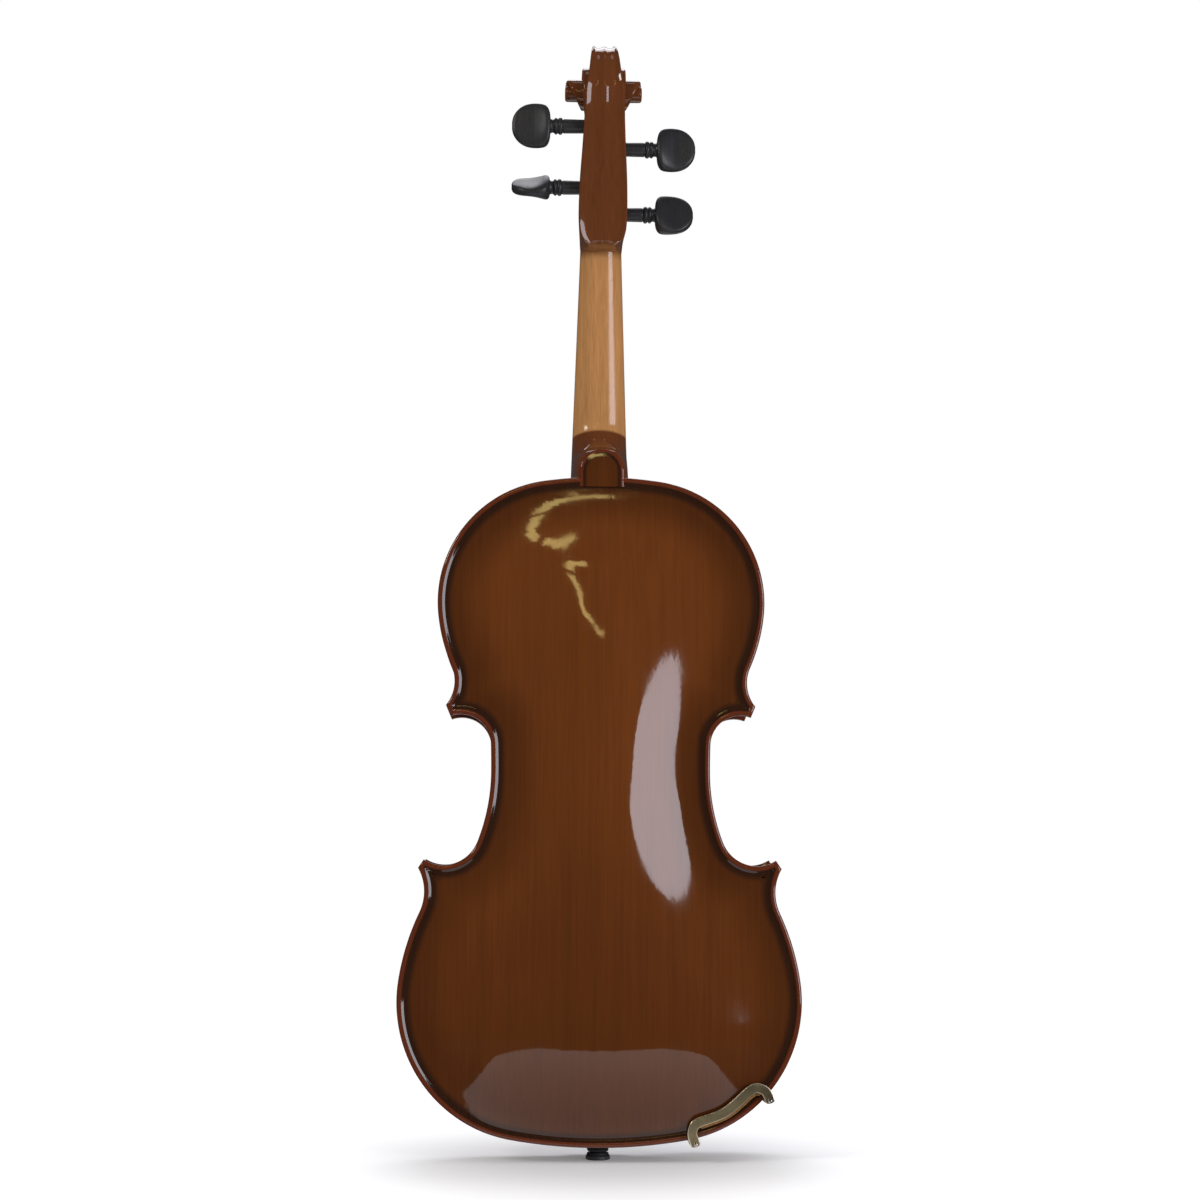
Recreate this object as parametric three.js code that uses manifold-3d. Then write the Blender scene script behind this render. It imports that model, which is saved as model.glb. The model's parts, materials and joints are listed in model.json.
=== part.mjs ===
// A full size viola, standing upright on its end button, seen from behind along +Y.
// Millimetres. +Z runs up the instrument, -Y is the back and +Y the strings, +X is the bass side.
// The origin is the centre of the end button's flat outer face.

import * as THREE from "three";
import { mergeVertices } from "three/addons/utils/BufferGeometryUtils.js";
import Module from "manifold-3d";

const wasm = await Module();
wasm.setup();

// Driving dimensions of the body.
const GAP = 0.3;
const BODY_LENGTH = 406;
const BODY_BASE = 9.3;
const BODY_MIDDLE = BODY_LENGTH / 2;
const RIB_HEIGHT = 38;
const PLATE_INNER = RIB_HEIGHT / 2 + GAP / 2;
const RIB_TOP = RIB_HEIGHT / 2 - GAP / 2;
const EDGE_THICKNESS = 4.2;
const CHANNEL_THICKNESS = 3.1;
const CHANNEL_INSET = 7.6;
const GLUE_INSET = 8.8;
const BACK_ARCH = 17;
const TOP_ARCH = 18;
const BACK_THICKNESS = 4.6;
const TOP_THICKNESS = 3.2;
const SPINE_SHARE = 0.8;
const RIB_INSET = 3;
const RIB_THICKNESS = 1.2;
const LINING_THICKNESS = 2;
const LINING_HEIGHT = 7;
const BLOCK_INSET = RIB_INSET + RIB_THICKNESS + GAP;

// The half outline is five chains of tangent arcs, each a radius and a turn in degrees.
// A positive radius turns left, a negative one right, and the chains start at these points.
const UPPER_CHAIN = { x: 0, s: BODY_LENGTH, heading: 0, arcs: [[-246, 8.34, 1], [-75.4, 87.4, 9],
  [-108, 17.9, 1], [23, 62.6, 4]] };
const LOWER_CHAIN = { x: 0, s: 0, heading: 0, arcs: [[309, 9.9, 1], [83.5, 88.2, 10], [145.7, 17, 2],
  [-28.8, 55.1, 4]] };
const WAIST_HALF = 66.6;
const WAIST_HEIGHT = 225;
const WAIST_UP_CHAIN = { x: WAIST_HALF, s: WAIST_HEIGHT, heading: 90, arcs: [[-480, 2, 1], [-18.4, 108.3, 6]] };
const WAIST_DOWN_CHAIN = { x: WAIST_HALF, s: WAIST_HEIGHT, heading: -90,
  arcs: [[118, 21.2, 2], [22.1, 100.6, 6]] };

// Driving dimensions of the neck, head and strings.
const STOP = 150;
const NUT = BODY_LENGTH + STOP;
const NECK_SLOPE = 0.1134;
const OVERSTAND = 30.2;
const NECK_ROOT = 397;
const FINGERBOARD_LENGTH = 308;
const FINGERBOARD_EDGE = 5;
const FINGERBOARD_RADIUS = 42;
const NUT_HALF = 13;
const BOARD_END_HALF = 23.5;
const BUTTON_HALF = 13.9;
const BUTTON_LENGTH = 17.6;
const BRIDGE_AT = 189;
const TAILPIECE_TOP = 127;
const TAILPIECE_END = 12;
const SIDE = { left: -1, right: 1 };

const group = new THREE.Group();

function material(color, roughness, metalness = 0) {
  return new THREE.MeshStandardMaterial({ color, roughness, metalness });
}

const FINISH = {
  varnish: () => material(0x5c3010, 0.2),
  spruce: () => material(0x8a4a1c, 0.22),
  bareWood: () => material(0xcaa56f, 0.7),
  ebony: () => material(0x2a2a2c, 0.45),
  maple: () => material(0xcf9f63, 0.55),
  steel: () => material(0xb9bcc0, 0.3, 1),
  nickel: () => material(0x8f8a74, 0.3, 1),
  cork: () => material(0x9a6d3c, 0.9),
  gut: () => material(0x1c1c1e, 0.5),
};

function add(name, geometry, finish) {
  const mesh = new THREE.Mesh(geometry, FINISH[finish]());
  mesh.name = name;
  group.add(mesh);
  return mesh;
}

// Meshes become solids for cutting and joining, and come back as geometry.

function cleaned(geometry) {
  const bare = geometry.clone();
  for (const key of Object.keys(bare.attributes)) {
    if (key !== "position") bare.deleteAttribute(key);
  }
  const merged = mergeVertices(bare, 1e-3);
  const index = merged.index.array;
  const kept = [];
  for (let i = 0; i < index.length; i += 3) {
    const [a, b, c] = [index[i], index[i + 1], index[i + 2]];
    if (a !== b && b !== c && c !== a) kept.push(a, b, c);
  }
  merged.setIndex(kept);
  return merged;
}

function signedVolume(geometry) {
  const p = geometry.attributes.position;
  const index = geometry.index.array;
  const [a, b, c] = [new THREE.Vector3(), new THREE.Vector3(), new THREE.Vector3()];
  let total = 0;
  for (let i = 0; i < index.length; i += 3) {
    a.fromBufferAttribute(p, index[i]);
    b.fromBufferAttribute(p, index[i + 1]);
    c.fromBufferAttribute(p, index[i + 2]);
    total += a.dot(b.cross(c));
  }
  return total / 6;
}

function outward(geometry) {
  const mesh = cleaned(geometry);
  if (signedVolume(mesh) < 0) {
    const index = mesh.index.array;
    for (let i = 0; i < index.length; i += 3) {
      [index[i + 1], index[i + 2]] = [index[i + 2], index[i + 1]];
    }
  }
  return mesh;
}

function solid(geometry) {
  const mesh = outward(geometry);
  return new wasm.Manifold(new wasm.Mesh({
    numProp: 3,
    vertProperties: new Float32Array(mesh.attributes.position.array),
    triVerts: new Uint32Array(mesh.index.array),
  }));
}

function shape(manifold) {
  const mesh = manifold.getMesh();
  const geometry = new THREE.BufferGeometry();
  geometry.setAttribute("position", new THREE.BufferAttribute(new Float32Array(mesh.vertProperties), 3));
  geometry.setIndex([...mesh.triVerts]);
  return geometry;
}

function fromTriangles(points, triangles) {
  const geometry = new THREE.BufferGeometry();
  const flat = points.flatMap((p) => [p.x, p.y, p.z]);
  geometry.setAttribute("position", new THREE.BufferAttribute(new Float32Array(flat), 3));
  geometry.setIndex(triangles);
  return outward(geometry);
}

// A skin over rings of equal length, each ring a closed loop of points, with flat ends.
function loft(rings, capped = true) {
  const count = rings[0].length;
  const points = rings.flat();
  const triangles = [];
  for (let r = 0; r + 1 < rings.length; r++) {
    for (let i = 0; i < count; i++) {
      const j = (i + 1) % count;
      const [a, b] = [r * count + i, r * count + j];
      triangles.push(a, b, b + count, a, b + count, a + count);
    }
  }
  if (capped) {
    for (const [start, flip] of [[0, true], [(rings.length - 1) * count, false]]) {
      const ring = points.slice(start, start + count);
      for (const [a, b, c] of flatFaces(ring)) {
        if (flip) triangles.push(start + a, start + c, start + b);
        else triangles.push(start + a, start + b, start + c);
      }
    }
  }
  return fromTriangles(points, triangles);
}

// Triangles over a roughly flat ring, seen along its own normal.
function flatFaces(ring) {
  const normal = new THREE.Vector3();
  ring.forEach((p, i) => {
    const q = ring[(i + 1) % ring.length];
    normal.add(new THREE.Vector3().crossVectors(p, q));
  });
  normal.normalize();
  const side = new THREE.Vector3(1, 0, 0);
  if (Math.abs(normal.x) > 0.9) side.set(0, 1, 0);
  const u = new THREE.Vector3().crossVectors(side, normal).normalize();
  const v = new THREE.Vector3().crossVectors(normal, u);
  const flat = ring.map((p) => new THREE.Vector2(p.dot(u), p.dot(v)));
  return THREE.ShapeUtils.triangulateShape(flat, []);
}

function point(x, y, s) {
  return new THREE.Vector3(x, y, s + BODY_BASE);
}

function lerp(a, b, t) {
  return a + (b - a) * t;
}

// Reads a value from a short list of [place, value] stops, straight between them.
function along(stops, at) {
  let last = stops[0];
  if (at <= last[0]) return last[1];
  for (const stop of stops.slice(1)) {
    if (at <= stop[0]) return lerp(last[1], stop[1], (at - last[0]) / (stop[0] - last[0]));
    last = stop;
  }
  return last[1];
}

// A flat outline in X and S, given depth along Y.
function prism(outline, y0, y1) {
  const flat = new THREE.Shape(outline.map((p) => new THREE.Vector2(p.x, p.y)));
  const geometry = new THREE.ExtrudeGeometry(flat, { depth: y1 - y0, bevelEnabled: false });
  return geometry.rotateX(Math.PI / 2).translate(0, y1, BODY_BASE);
}

function rectangle(x0, x1, s0, s1) {
  return [[x0, s0], [x1, s0], [x1, s1], [x0, s1]].map(([x, s]) => new THREE.Vector2(x, s));
}

// A turned piece: stops of [distance along the axis, radius], closed on its axis.
function turned(stops, sides) {
  const profile = [[stops[0][0], 0], ...stops, [stops[stops.length - 1][0], 0]];
  const points = profile.map(([at, radius]) => new THREE.Vector2(radius, at));
  return new THREE.LatheGeometry(points, sides);
}

// A round bar along a path of points.
function bar(path, radius, steps, sides) {
  const section = new THREE.Shape();
  for (let i = 0; i < sides; i++) {
    const turn = (i / sides) * 2 * Math.PI;
    const [x, y] = [radius * Math.cos(turn), radius * Math.sin(turn)];
    if (i === 0) section.moveTo(x, y);
    else section.lineTo(x, y);
  }
  section.closePath();
  return new THREE.ExtrudeGeometry(section, { extrudePath: path, steps, bevelEnabled: false });
}

// The outline of the body, as points [x, s] with s measured up from the lower edge.

function arcChain({ x, s, heading, arcs }) {
  const points = [new THREE.Vector2(x, s)];
  let angle = THREE.MathUtils.degToRad(heading);
  for (const [radius, degrees, steps] of arcs) {
    const side = Math.sign(radius);
    const reach = Math.abs(radius);
    const start = points[points.length - 1];
    const centre = new THREE.Vector2(start.x - side * reach * Math.sin(angle),
      start.y + side * reach * Math.cos(angle));
    const turn = THREE.MathUtils.degToRad(degrees) * side;
    for (let i = 1; i <= steps; i++) {
      const now = angle + (turn * i) / steps;
      points.push(new THREE.Vector2(centre.x + side * reach * Math.sin(now),
        centre.y - side * reach * Math.cos(now)));
    }
    angle += turn;
  }
  return points;
}

const upperSide = arcChain(UPPER_CHAIN);
const waistUp = arcChain(WAIST_UP_CHAIN);
const waistDown = arcChain(WAIST_DOWN_CHAIN);
const lowerSide = arcChain(LOWER_CHAIN);
const rightHalf = [...upperSide, ...waistUp.reverse(), ...waistDown.slice(1), ...lowerSide.reverse()];
const leftHalf = rightHalf.slice(1, -1).reverse().map((p) => new THREE.Vector2(-p.x, p.y));
const OUTLINE = [...rightHalf, ...leftHalf];

const upperTips = [upperSide[upperSide.length - 1], waistUp[0]];
const lowerTips = [waistDown[waistDown.length - 1], lowerSide[0]];

// Each corner has the middle of its cut face and the direction into the body.
function corner(tips, inwardDegrees, side) {
  const middle = tips[0].clone().add(tips[1]).multiplyScalar(0.5);
  const angle = THREE.MathUtils.degToRad(inwardDegrees);
  return {
    at: new THREE.Vector2(middle.x * side, middle.y),
    into: new THREE.Vector2(Math.cos(angle) * side, Math.sin(angle)),
  };
}

const UPPER_CORNER_INWARD = 152;
const LOWER_CORNER_INWARD = 216;
const CORNERS = Object.values(SIDE).flatMap((side) => [
  corner(upperTips, UPPER_CORNER_INWARD, side),
  corner(lowerTips, LOWER_CORNER_INWARD, side),
]);

function distanceToOutline(p) {
  let least = Infinity;
  const [step, toPoint] = [new THREE.Vector2(), new THREE.Vector2()];
  OUTLINE.forEach((a, i) => {
    const b = OUTLINE[(i + 1) % OUTLINE.length];
    step.subVectors(b, a);
    toPoint.subVectors(p, a);
    const t = THREE.MathUtils.clamp(toPoint.dot(step) / step.lengthSq(), 0, 1);
    least = Math.min(least, toPoint.addScaledVector(step, -t).length());
  });
  return least;
}

// Where the two edges of a corner, drawn in by the inset, meet on the corner's own line.
function cornerInset({ at, into }, inset) {
  const p = at.clone();
  const step = 0.1;
  for (let i = 0; i < 400 && distanceToOutline(p) < inset; i++) p.addScaledVector(into, step);
  return p;
}

// Past this inset a corner's cut face has closed to one point.
const TIP_INSET = 3.4;
const TIP_REACH = 4.5;

function insetOutline(inset) {
  const ends = CORNERS.map((c) => cornerInset(c, inset));
  return OUTLINE.map((p, i) => {
    const before = OUTLINE[(i + OUTLINE.length - 1) % OUTLINE.length];
    const after = OUTLINE[(i + 1) % OUTLINE.length];
    const one = new THREE.Vector2().subVectors(p, before).normalize();
    const two = new THREE.Vector2().subVectors(after, p).normalize();
    const inward = new THREE.Vector2(one.y + two.y, -(one.x + two.x)).normalize();
    const moved = p.clone().addScaledVector(inward, inset / Math.max(inward.x * one.y - inward.y * one.x, 0.6));
    const onTip = inset > TIP_INSET && CORNERS.some((c) => c.at.distanceTo(p) < TIP_REACH);
    if (!onTip && distanceToOutline(moved) > inset * 0.93) return moved;
    return ends.reduce((best, end) => (end.distanceTo(p) < best.distanceTo(p) ? end : best));
  });
}

function withoutRepeats(outline) {
  return outline.filter((p, i) => p.distanceTo(outline[(i + 1) % outline.length]) > 0.05);
}

// The arching: a smooth swell from the channel to the spine, highest near the middle.
const CHANNEL_LINE = insetOutline(CHANNEL_INSET);

function spinePoint(s) {
  return BODY_MIDDLE + SPINE_SHARE * (s - BODY_MIDDLE);
}

function swell(share) {
  return (1 - Math.cos(Math.PI * share)) / 2;
}

function crown(s) {
  const reach = (s - BODY_MIDDLE) / BODY_MIDDLE;
  return 1 - 0.55 * Math.abs(reach) ** 2.6;
}

// Rings of an arched surface from a starting ring to the spine, at heights above the rib line.
function archRings(start, base, height, side, shares) {
  return shares.map((share) => start.map((p) => {
    const spine = spinePoint(p.y);
    const level = base + height * crown(spine) * swell(share);
    return point(lerp(p.x, 0, share), side * (PLATE_INNER + level), lerp(p.y, spine, share));
  }));
}

function flatRing(inset, level, side) {
  const ring = inset > 0 ? insetOutline(inset) : OUTLINE;
  return ring.map((p) => point(p.x, side * (PLATE_INNER + level), p.y));
}

const OUTER_SHARES = [0.2, 0.42, 0.68, 1];
const INNER_SHARES = [1, 0.6, 0.3];

function plate(side, arch, thickness) {
  const glueLine = insetOutline(GLUE_INSET);
  return loft([
    ...archRings(glueLine, 0, arch - thickness, side, INNER_SHARES),
    flatRing(GLUE_INSET, 0, side),
    flatRing(0.8, 0, side),
    flatRing(0, 1, side),
    flatRing(0, 3.2, side),
    flatRing(1.3, EDGE_THICKNESS, side),
    flatRing(4.6, EDGE_THICKNESS - 0.3, side),
    flatRing(CHANNEL_INSET, CHANNEL_THICKNESS, side),
    ...archRings(CHANNEL_LINE, CHANNEL_THICKNESS, arch - CHANNEL_THICKNESS, side, OUTER_SHARES),
  ], false);
}

const backPlate = solid(plate(-1, BACK_ARCH, BACK_THICKNESS));
const topPlate = solid(plate(1, TOP_ARCH, TOP_THICKNESS));

// The back's button, a rounded tab over the heel with a bevelled rim.
function buttonOutline(half, length) {
  const points = [new THREE.Vector2(half, BODY_LENGTH - 8)];
  const sides = 12;
  for (let i = 0; i <= sides; i++) {
    const turn = (i / sides) * Math.PI;
    points.push(new THREE.Vector2(half * Math.cos(turn), BODY_LENGTH + length - half + half * Math.sin(turn)));
  }
  points.push(new THREE.Vector2(-half, BODY_LENGTH - 8));
  return points;
}

function buttonRing(shrink, level) {
  return buttonOutline(BUTTON_HALF - shrink, BUTTON_LENGTH - shrink).map((p) => point(p.x,
    -(PLATE_INNER + level), p.y));
}

const button = solid(loft([buttonRing(0, 0), buttonRing(0, 3.3), buttonRing(1, EDGE_THICKNESS - 0.05)]));
add("back_plate", shape(backPlate.add(button)), "varnish");

// A sound hole: an S shaped ribbon with a nick at its middle, and a round eye at each end.
const UPPER_EYE = { x: 28, s: 222, radius: 4.4 };
const LOWER_EYE = { x: 52.5, s: 155.5, radius: 5.8 };
const HOLE_PATH = [[27, 226], [32.5, 230.5], [37, 224.5], [38.7, 208], [40.3, 189], [42, 170], [44, 153],
  [48.5, 147.5], [53.5, 150.5]];
const HOLE_NICK = 0.47;

function ribbon(side) {
  const curve = new THREE.SplineCurve(HOLE_PATH.map(([x, s]) => new THREE.Vector2(x * side, s)));
  const [left, right] = [[], []];
  const stations = [0, 0.1, 0.18, 0.26, 0.36, HOLE_NICK - 0.02, HOLE_NICK, HOLE_NICK + 0.02, 0.58, 0.7, 0.8,
    0.9, 1];
  for (const t of stations) {
    const at = curve.getPoint(t);
    const way = curve.getTangent(t);
    const nick = t === HOLE_NICK ? 1.4 : 0;
    const half = 0.9 + 2.3 * Math.sin(Math.PI * t) ** 1.4 + nick;
    left.push(new THREE.Vector2(at.x - way.y * half, at.y + way.x * half));
    right.push(new THREE.Vector2(at.x + way.y * half, at.y - way.x * half));
  }
  return [...left, ...right.reverse()];
}

function eye({ x, s, radius }, side) {
  const sides = 16;
  return Array.from({ length: sides }, (_, i) => {
    const turn = (i / sides) * 2 * Math.PI;
    return new THREE.Vector2(x * side + radius * Math.cos(turn), s + radius * Math.sin(turn));
  });
}

function soundHole(side) {
  const [y0, y1] = [PLATE_INNER - 2, PLATE_INNER + TOP_ARCH + 4];
  return [ribbon(side), eye(UPPER_EYE, side), eye(LOWER_EYE, side)]
    .map((outline) => solid(prism(outline, y0, y1)))
    .reduce((whole, piece) => whole.add(piece));
}

const HEEL_SLOT_HALF = 18.2;
const SADDLE_HALF = 19;
const SADDLE_DEPTH = 6.4;
const throughTop = [PLATE_INNER - 3, PLATE_INNER + TOP_ARCH];
const heelSlot = solid(prism(rectangle(-HEEL_SLOT_HALF, HEEL_SLOT_HALF, BODY_LENGTH - 5.4, BODY_LENGTH + 5),
  ...throughTop));
const saddleSlot = solid(prism(rectangle(-SADDLE_HALF - GAP, SADDLE_HALF + GAP, -3, SADDLE_DEPTH + GAP),
  ...throughTop));
const finishedTop = [heelSlot, saddleSlot, soundHole(1), soundHole(-1)].reduce((rest,
  cut) => rest.subtract(cut), topPlate);
add("top_plate", shape(finishedTop), "spruce");

// Ribs, linings and blocks are cut from rings that follow the outline inside the plates' edges.

function outlinePrism(inset, y0, y1) {
  return solid(prism(withoutRepeats(insetOutline(inset)), y0, y1));
}

function wallRing(outer, inner, y0, y1) {
  return outlinePrism(outer, y0, y1).subtract(outlinePrism(inner, y0 - 1, y1 + 1));
}

// A thin cut through a corner, along the corner's own line.
function cornerCut({ at, into }) {
  const across = new THREE.Vector2(-into.y, into.x).multiplyScalar(GAP / 2);
  const far = at.clone().addScaledVector(into, 14);
  const near = at.clone().addScaledVector(into, -4);
  const outline = [
    near.clone().add(across), near.clone().sub(across), far.clone().sub(across), far.clone().add(across),
  ];
  return solid(prism(outline, -RIB_HEIGHT, RIB_HEIGHT));
}

function box(x0, x1, s0, s1, y0 = -RIB_HEIGHT, y1 = RIB_HEIGHT) {
  return solid(prism(rectangle(x0, x1, s0, s1), y0, y1));
}

// Loose pieces are told apart by the middle of their bounds.
function middleOf(manifold) {
  const { min, max } = manifold.boundingBox();
  return { x: (min[0] + max[0]) / 2, s: (min[2] + max[2]) / 2 - BODY_BASE };
}

function boutOf(s) {
  if (s > 270) return "upper";
  return s > 165 ? "middle" : "lower";
}

const HEEL_HALF = 18.9;
const endHole = solid(turned([[-3, 4.6], [40, 4.6]], 20).rotateX(Math.PI / 2));
const ribCuts = [...CORNERS.map(cornerCut), box(-HEEL_HALF, HEEL_HALF, 395, 410),
  box(-GAP / 2, GAP / 2, -5, 12), endHole];
const ribPieces = ribCuts
  .reduce((rest, cut) => rest.subtract(cut), wallRing(RIB_INSET, RIB_INSET + RIB_THICKNESS, -RIB_TOP, RIB_TOP))
  .decompose();

// The blocks fill the body inside the ribs at the neck, the end button and the four corners.
const BLOCK_HEIGHT = RIB_TOP;
const inside = outlinePrism(BLOCK_INSET, -BLOCK_HEIGHT, BLOCK_HEIGHT);
const NECK_BLOCK = { half: 27, from: 384 };
const END_BLOCK = { half: 24, to: 20 };

function heelPocket() {
  const ring = (y, half) => [[-half, NECK_ROOT - GAP], [half, NECK_ROOT - GAP], [half, 410],
    [-half, 410]].map(([x, s]) => point(x, y, s));
  return solid(loft([ring(-20, BUTTON_HALF + GAP), ring(20, HEEL_SLOT_HALF - 0.5)]));
}

const neckBlock = inside.intersect(box(-NECK_BLOCK.half, NECK_BLOCK.half, NECK_BLOCK.from,
  410)).subtract(heelPocket());
const endBlock = inside.intersect(box(-END_BLOCK.half, END_BLOCK.half, -5, END_BLOCK.to)).subtract(endHole);
add("neck_block", shape(neckBlock), "bareWood");
add("end_block", shape(endBlock), "bareWood");

const BLOCK_LENGTH = 21;
const BLOCK_SPREAD = 17;

function cornerWedge({ at, into }) {
  const across = new THREE.Vector2(-into.y, into.x);
  const near = at.clone().addScaledVector(into, -6);
  const far = at.clone().addScaledVector(into, BLOCK_LENGTH);
  const outline = [[near, -1], [near, 1], [far, 1], [far, -1]]
    .map(([end, side]) => end.clone().addScaledVector(across, side * BLOCK_SPREAD));
  if (THREE.ShapeUtils.isClockWise(outline)) outline.reverse();
  return outline;
}

const cornerBlocks = CORNERS.map((c) => inside.intersect(solid(prism(cornerWedge(c), -RIB_HEIGHT,
  RIB_HEIGHT))));
cornerBlocks.forEach((block) => {
  const { x, s } = middleOf(block);
  add(`${s > 215 ? "upper" : "lower"}_${x > 0 ? "right" : "left"}_corner_block`, shape(block), "bareWood");
});

// Linings stop short of the blocks.
function linings(outer, y0, y1) {
  const ring = wallRing(outer, BLOCK_INSET + LINING_THICKNESS, y0, y1);
  const corners = CORNERS.map(({ at, into }) => {
    const wedge = cornerWedge({ at: at.clone().addScaledVector(into, GAP), into });
    return solid(prism(wedge, -RIB_HEIGHT, RIB_HEIGHT));
  });
  const cuts = [
    ...corners,
    box(-NECK_BLOCK.half - GAP, NECK_BLOCK.half + GAP, 370, 410),
    box(-END_BLOCK.half - GAP, END_BLOCK.half + GAP, -5, 30),
  ];
  return cuts.reduce((rest, cut) => rest.subtract(cut), ring).decompose();
}

const LINING_LEVELS = {
  back: [-RIB_TOP, -RIB_TOP + LINING_HEIGHT],
  top: [RIB_TOP - LINING_HEIGHT, RIB_TOP],
};

function sideOf(x) {
  return x > 0 ? "right" : "left";
}

for (const [face, levels] of Object.entries(LINING_LEVELS)) {
  for (const piece of linings(BLOCK_INSET, ...levels)) {
    const { x, s } = middleOf(piece);
    add(`${face}_${boutOf(s)}_${sideOf(x)}_lining`, shape(piece), "bareWood");
  }
}

for (const rib of ribPieces) {
  const { x, s } = middleOf(rib);
  add(`${boutOf(s)}_${sideOf(x)}_rib`, shape(rib), "varnish");
}

// The neck is one piece with the pegbox and scroll, and its root sits in the neck block.

function glueLine(s) {
  return OVERSTAND + NECK_SLOPE * (BODY_LENGTH - s);
}

function boardHalf(s) {
  return NUT_HALF + ((BOARD_END_HALF - NUT_HALF) * (NUT - s)) / FINGERBOARD_LENGTH;
}

const HEEL_END = BODY_LENGTH + BUTTON_LENGTH;
const HEEL_BACK = -RIB_TOP + 0.15;
const HEEL_RUN = 22;
const NECK_BACK = 12.5;
const NECK_BACK_SLOPE = 0.1158;

function neckBack(s) {
  if (s <= HEEL_END) return HEEL_BACK;
  const rest = HEEL_END + HEEL_RUN - s;
  if (rest > 0) return HEEL_BACK + (NECK_BACK - HEEL_BACK) * Math.sqrt(1 - (rest / HEEL_RUN) ** 2);
  return NECK_BACK + rest * NECK_BACK_SLOPE;
}

function heelHalf(s) {
  const round = s - (HEEL_END - BUTTON_HALF);
  const half = BUTTON_HALF - GAP;
  return round <= 0 ? half : Math.sqrt(Math.max(half ** 2 - round ** 2, 4));
}

function neckRing(s) {
  const [wide, front, back, narrow] = [boardHalf(s), glueLine(s), neckBack(s), heelHalf(s)];
  const side = [0, 0.3, 0.55, 0.76, 0.92, 1].map((t) => [
    narrow + (wide - narrow) * Math.sqrt(1 - t * t),
    lerp(front, back, t),
  ]);
  return [...side, ...side.map(([x, y]) => [-x, y]).reverse()].map(([x, y]) => point(x, y, s));
}

const NECK_START = 402;
const NECK_FINISH = 559.5;
const NECK_STATIONS = [NECK_START, 409.7, 414, 418, 421.5, HEEL_END, 424.6, 427, 431, 437, 446, 480, 520,
  NECK_FINISH];
const ROOT_HALF = 17.3;

function rootRing(s) {
  const [back, front] = [HEEL_BACK, RIB_TOP - 0.4];
  return [[ROOT_HALF, front], [BUTTON_HALF - GAP, back], [GAP - BUTTON_HALF, back],
    [-ROOT_HALF, front]].map(([x, y]) => point(x, y, s));
}

const neck = solid(loft(NECK_STATIONS.map(neckRing))).add(solid(loft([rootRing(NECK_ROOT),
  rootRing(NECK_START + 1)])));

// The scroll. Its spiral starts under the throat and turns forward over the top, and the
// half width at each turn is a short list of [degrees turned, half width].
const VOLUTE = { y: -18.6, s: 649.6, steps: 20, count: 70, start: 255, crown: 28.5, crownTurn: 165 };
const SPIRAL_RATE = 0.001825;
const VOLUTE_WIDTHS = [
  [0, 12.6], [60, 12], [90, 9.7], [135, 7.7], [165, 6.9], [255, 6.8], [345, 10.5], [375, 12.4],
  [435, 13.4], [525, 13.5], [615, 15.5], [705, 19.5], [795, 22], [885, 23.4], [960, 23.9],
];
const FLUTE_DEPTH = 1.7;
const CHAMFER = 1;

function voluteTurn(i) {
  return (i * 360) / VOLUTE.steps;
}

function voluteRadius(turn) {
  const past = turn - VOLUTE.crownTurn;
  return past < 0 ? VOLUTE.crown - past * 0.028 : VOLUTE.crown * Math.exp(-SPIRAL_RATE * past);
}

function spiralPoint(i) {
  const turn = voluteTurn(i);
  const angle = THREE.MathUtils.degToRad(VOLUTE.start - turn);
  const reach = voluteRadius(turn);
  return new THREE.Vector2(VOLUTE.y + reach * Math.cos(angle), VOLUTE.s + reach * Math.sin(angle));
}

const JOIN_STEPS = 4;
const joinCurve = new THREE.QuadraticBezierCurve(
  new THREE.Vector2(-43.2, 626.5), new THREE.Vector2(-49.3, 637.5), spiralPoint(JOIN_STEPS),
);

function voluteEdge(i) {
  return i < JOIN_STEPS ? joinCurve.getPoint(i / JOIN_STEPS) : spiralPoint(i);
}

function voluteHalf(i) {
  return along(VOLUTE_WIDTHS, voluteTurn(i));
}

// One half of a section through the head, from the middle of its back to the middle of its front.
function headSection(back, front, backHalf, frontHalf, hollow) {
  const into = new THREE.Vector2().subVectors(front, back);
  const depth = into.length();
  into.normalize();
  const at = (x, inward) => point(x, back.x + into.x * inward, back.y + into.y * inward);
  const wallFoot = lerp(CHAMFER, 0.15, hollow);
  return [
    at(0, 0.2),
    at(backHalf * 0.5, FLUTE_DEPTH),
    at(backHalf - CHAMFER, 0),
    at(backHalf, CHAMFER),
    at(lerp(lerp(backHalf, frontHalf, 0.45), backHalf - 1.7, hollow), lerp(CHAMFER, depth, 0.5)),
    at(lerp(frontHalf, backHalf - 2.3, hollow), depth - wallFoot),
    at(frontHalf - CHAMFER, depth),
    at(frontHalf * 0.5, depth - lerp(0, FLUTE_DEPTH, hollow)),
    at(0, depth - lerp(0, 0.2, hollow)),
  ];
}

// Sections of the pegbox from the chin to the throat: back [y, s, half], front [y, s, half].
const PEGBOX = [
  [[1.5, 553.5, 4], [13, 551, 12.9]],
  [[-4, 553.2, 8.4], [12.9, 553.5, 13.1]],
  [[-9.5, 555, 11.6], [12.7, 556.5, 13.4]],
  [[-14.5, 559.2, 13.7], [12.4, 560, 13.6]],
  [[-18.2, 565.5, 14.9], [11.2, 565, 13.7]],
  [[-21.2, 574, 15.3], [7.2, 573.5, 13.6]],
  [[-28.3, 592, 14.8], [-2.6, 590.5, 13.2]],
  [[-36.5, 611, 13.5], [-13.9, 610.5, 12.8]],
];

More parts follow.
